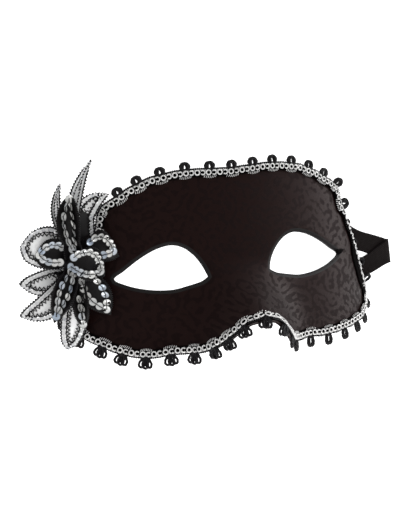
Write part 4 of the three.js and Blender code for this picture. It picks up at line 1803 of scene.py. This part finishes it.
    def thread(self, draft: MeshDraft, centre: np.ndarray, up: np.ndarray) -> None:
        """Adds the black thread that runs over the sequins from hole to hole.

        Args:
            draft: Collects the thread.
            centre: Middles of the sequins.
            up: Directions out of the cloth at the sequins.
        """
        stops = [centre[0]]
        for k in range(len(centre) - 1):
            middle = centre[k] * 0.45 + centre[k + 1] * 0.55
            stops += [middle + up[k] * 0.42 * self.disc, centre[k + 1] + up[k + 1] * 0.1]
        path = np.array(stops)
        draft.tube(path, 0.1 + 0.05 * self.disc, np.repeat(up, 2, axis=0)[: len(path)], 5, finish=1)

    def build(self, closet: Closet) -> list[bpy.types.Object]:
        """Makes the petal's pieces."""
        return [self.cloth(closet), self.stitching(closet), self.sequins(closet)]


@dataclass
class Flower:
    """The sewn flower at the left temple."""

    closet: Closet

    def petals(self) -> list[Petal]:
        """Every petal, silver ones behind and black ones in front.

        Returns:
            The petals, in the order they are built.
        """
        silver, black = PetalKind.SILVER, PetalKind.BLACK
        face_on = {"margin": 1.9, "spread": 6.0, "row_inset": 1.1, "disc": 1.95}
        steep = {"margin": 1.4, "spread": 5.0, "row_inset": 1.5, "disc": 2.0, "cup": 3.0,
                 "disc_pitch": 1.85, "row_lift": 1.5}
        return [
            Petal("outer_left", silver, -1.5, (-92.4, 12.8, 8), (-104.3, 13, 3.6), 20.5, fullness=0.5,
                  cup=0.6, spread=4.0),
            Petal("outer_lower_left", silver, -0.6, (-93.2, -4.6, 7.2), (-105.7, -4.8, 3.8), 12.5, start=6,
                  fullness=0.65, cup=0.2),
            Petal("outer_lower_left_long", silver, 1.6, (-92.7, -14, 11), (-106.8, -19.6, 7), 12.5,
                  fullness=0.65, cup=0.6),
            Petal("outer_lower", silver, -1.2, (-80.4, -23.2, 9.4), (-83.3, -39.4, 6), 12.5, fullness=0.55,
                  cup=0.6),
            Petal("outer_upper_narrow", silver, 1.2, (-88.4, 28.3, 12), (-85.7, 43.5, 10.5), 5),
            Petal("outer_upper_tall", silver, -0.2, (-79.2, 32.3, 9.8), (-70.3, 53.7, 10.5), 6.5),
            Petal("outer_upper_curling", silver, -1.4, (-73, 29, 8.6), (-62.1, 36.1, 10), 10, fullness=0.7,
                  cup=0.6, spread=9.0, fan_end=1.0, black_part=0.5),
            Petal("inner_left", black, 2.6, (-90.7, 10.6, 11.5), (-97.4, 9.6, 8.5), 11, base=1.6,
                  row_from=0.3, **face_on),
            Petal("inner_upper", black, 4.2, (-83.8, 25.8, 15), (-82.4, 37.8, 14), 8, base=1.6,
                  row_from=0.12, **(steep | {"roll": 30.0, "disc": 2.3})),
            Petal("inner_upper_right", black, 2, (-68.4, 12.2, 12.4), (-59.6, 7.6, 11.5), 11.5, base=1.2,
                  row_from=0.25, **(face_on | {"spread": 8.0})),
            Petal("inner_lower_right", black, 4.7, (-72.3, -8.4, 16), (-66.2, -19, 17.8), 10.5, start=4.5,
                  base=1.2, row_from=0.2, disc_pitch=1.75, **face_on),
            Petal("inner_lower_small", black, 2, (-78.1, -13.9, 13), (-76.9, -26.1, 12.4), 5, start=4,
                  row_from=0.45, **(steep | {"roll": 15.0})),
            Petal("inner_lower", black, 4.8, (-86.6, -6.8, 15.6), (-91.5, -20.9, 14.4), 8, base=1.2,
                  row_from=0.15, **(steep | {"roll": 12.0})),
            Petal("inner_centre", black, 6.6, (-76.1, 5.9, 16.6), (-68.4, 0.1, 15.2), 11.5, start=-3.5,
                  base=2.6, row_from=0.1, **(face_on | {"row_inset": 0.3, "margin": 2.4})),
        ]

    def build(self) -> list[bpy.types.Object]:
        """Makes every petal."""
        return [piece for petal in self.petals() for piece in petal.build(self.closet)]


def main() -> None:
    """Builds the studio and every sub-assembly."""
    logging.basicConfig(level=logging.INFO, format="%(message)s")
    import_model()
    studio = Studio()
    studio.camera()
    face = FaceForm()
    rim = Rim(face)
    closet = Closet(Wardrobe())
    Strap(face, closet).build()
    shell = Shell(face, closet)
    shell.build()
    shell.corner_tuck()
    Braid(rim, closet).build()
    Flower(closet).build()
    studio.build()
    bpy.context.view_layer.update()


if __name__ == "__main__":
    main()
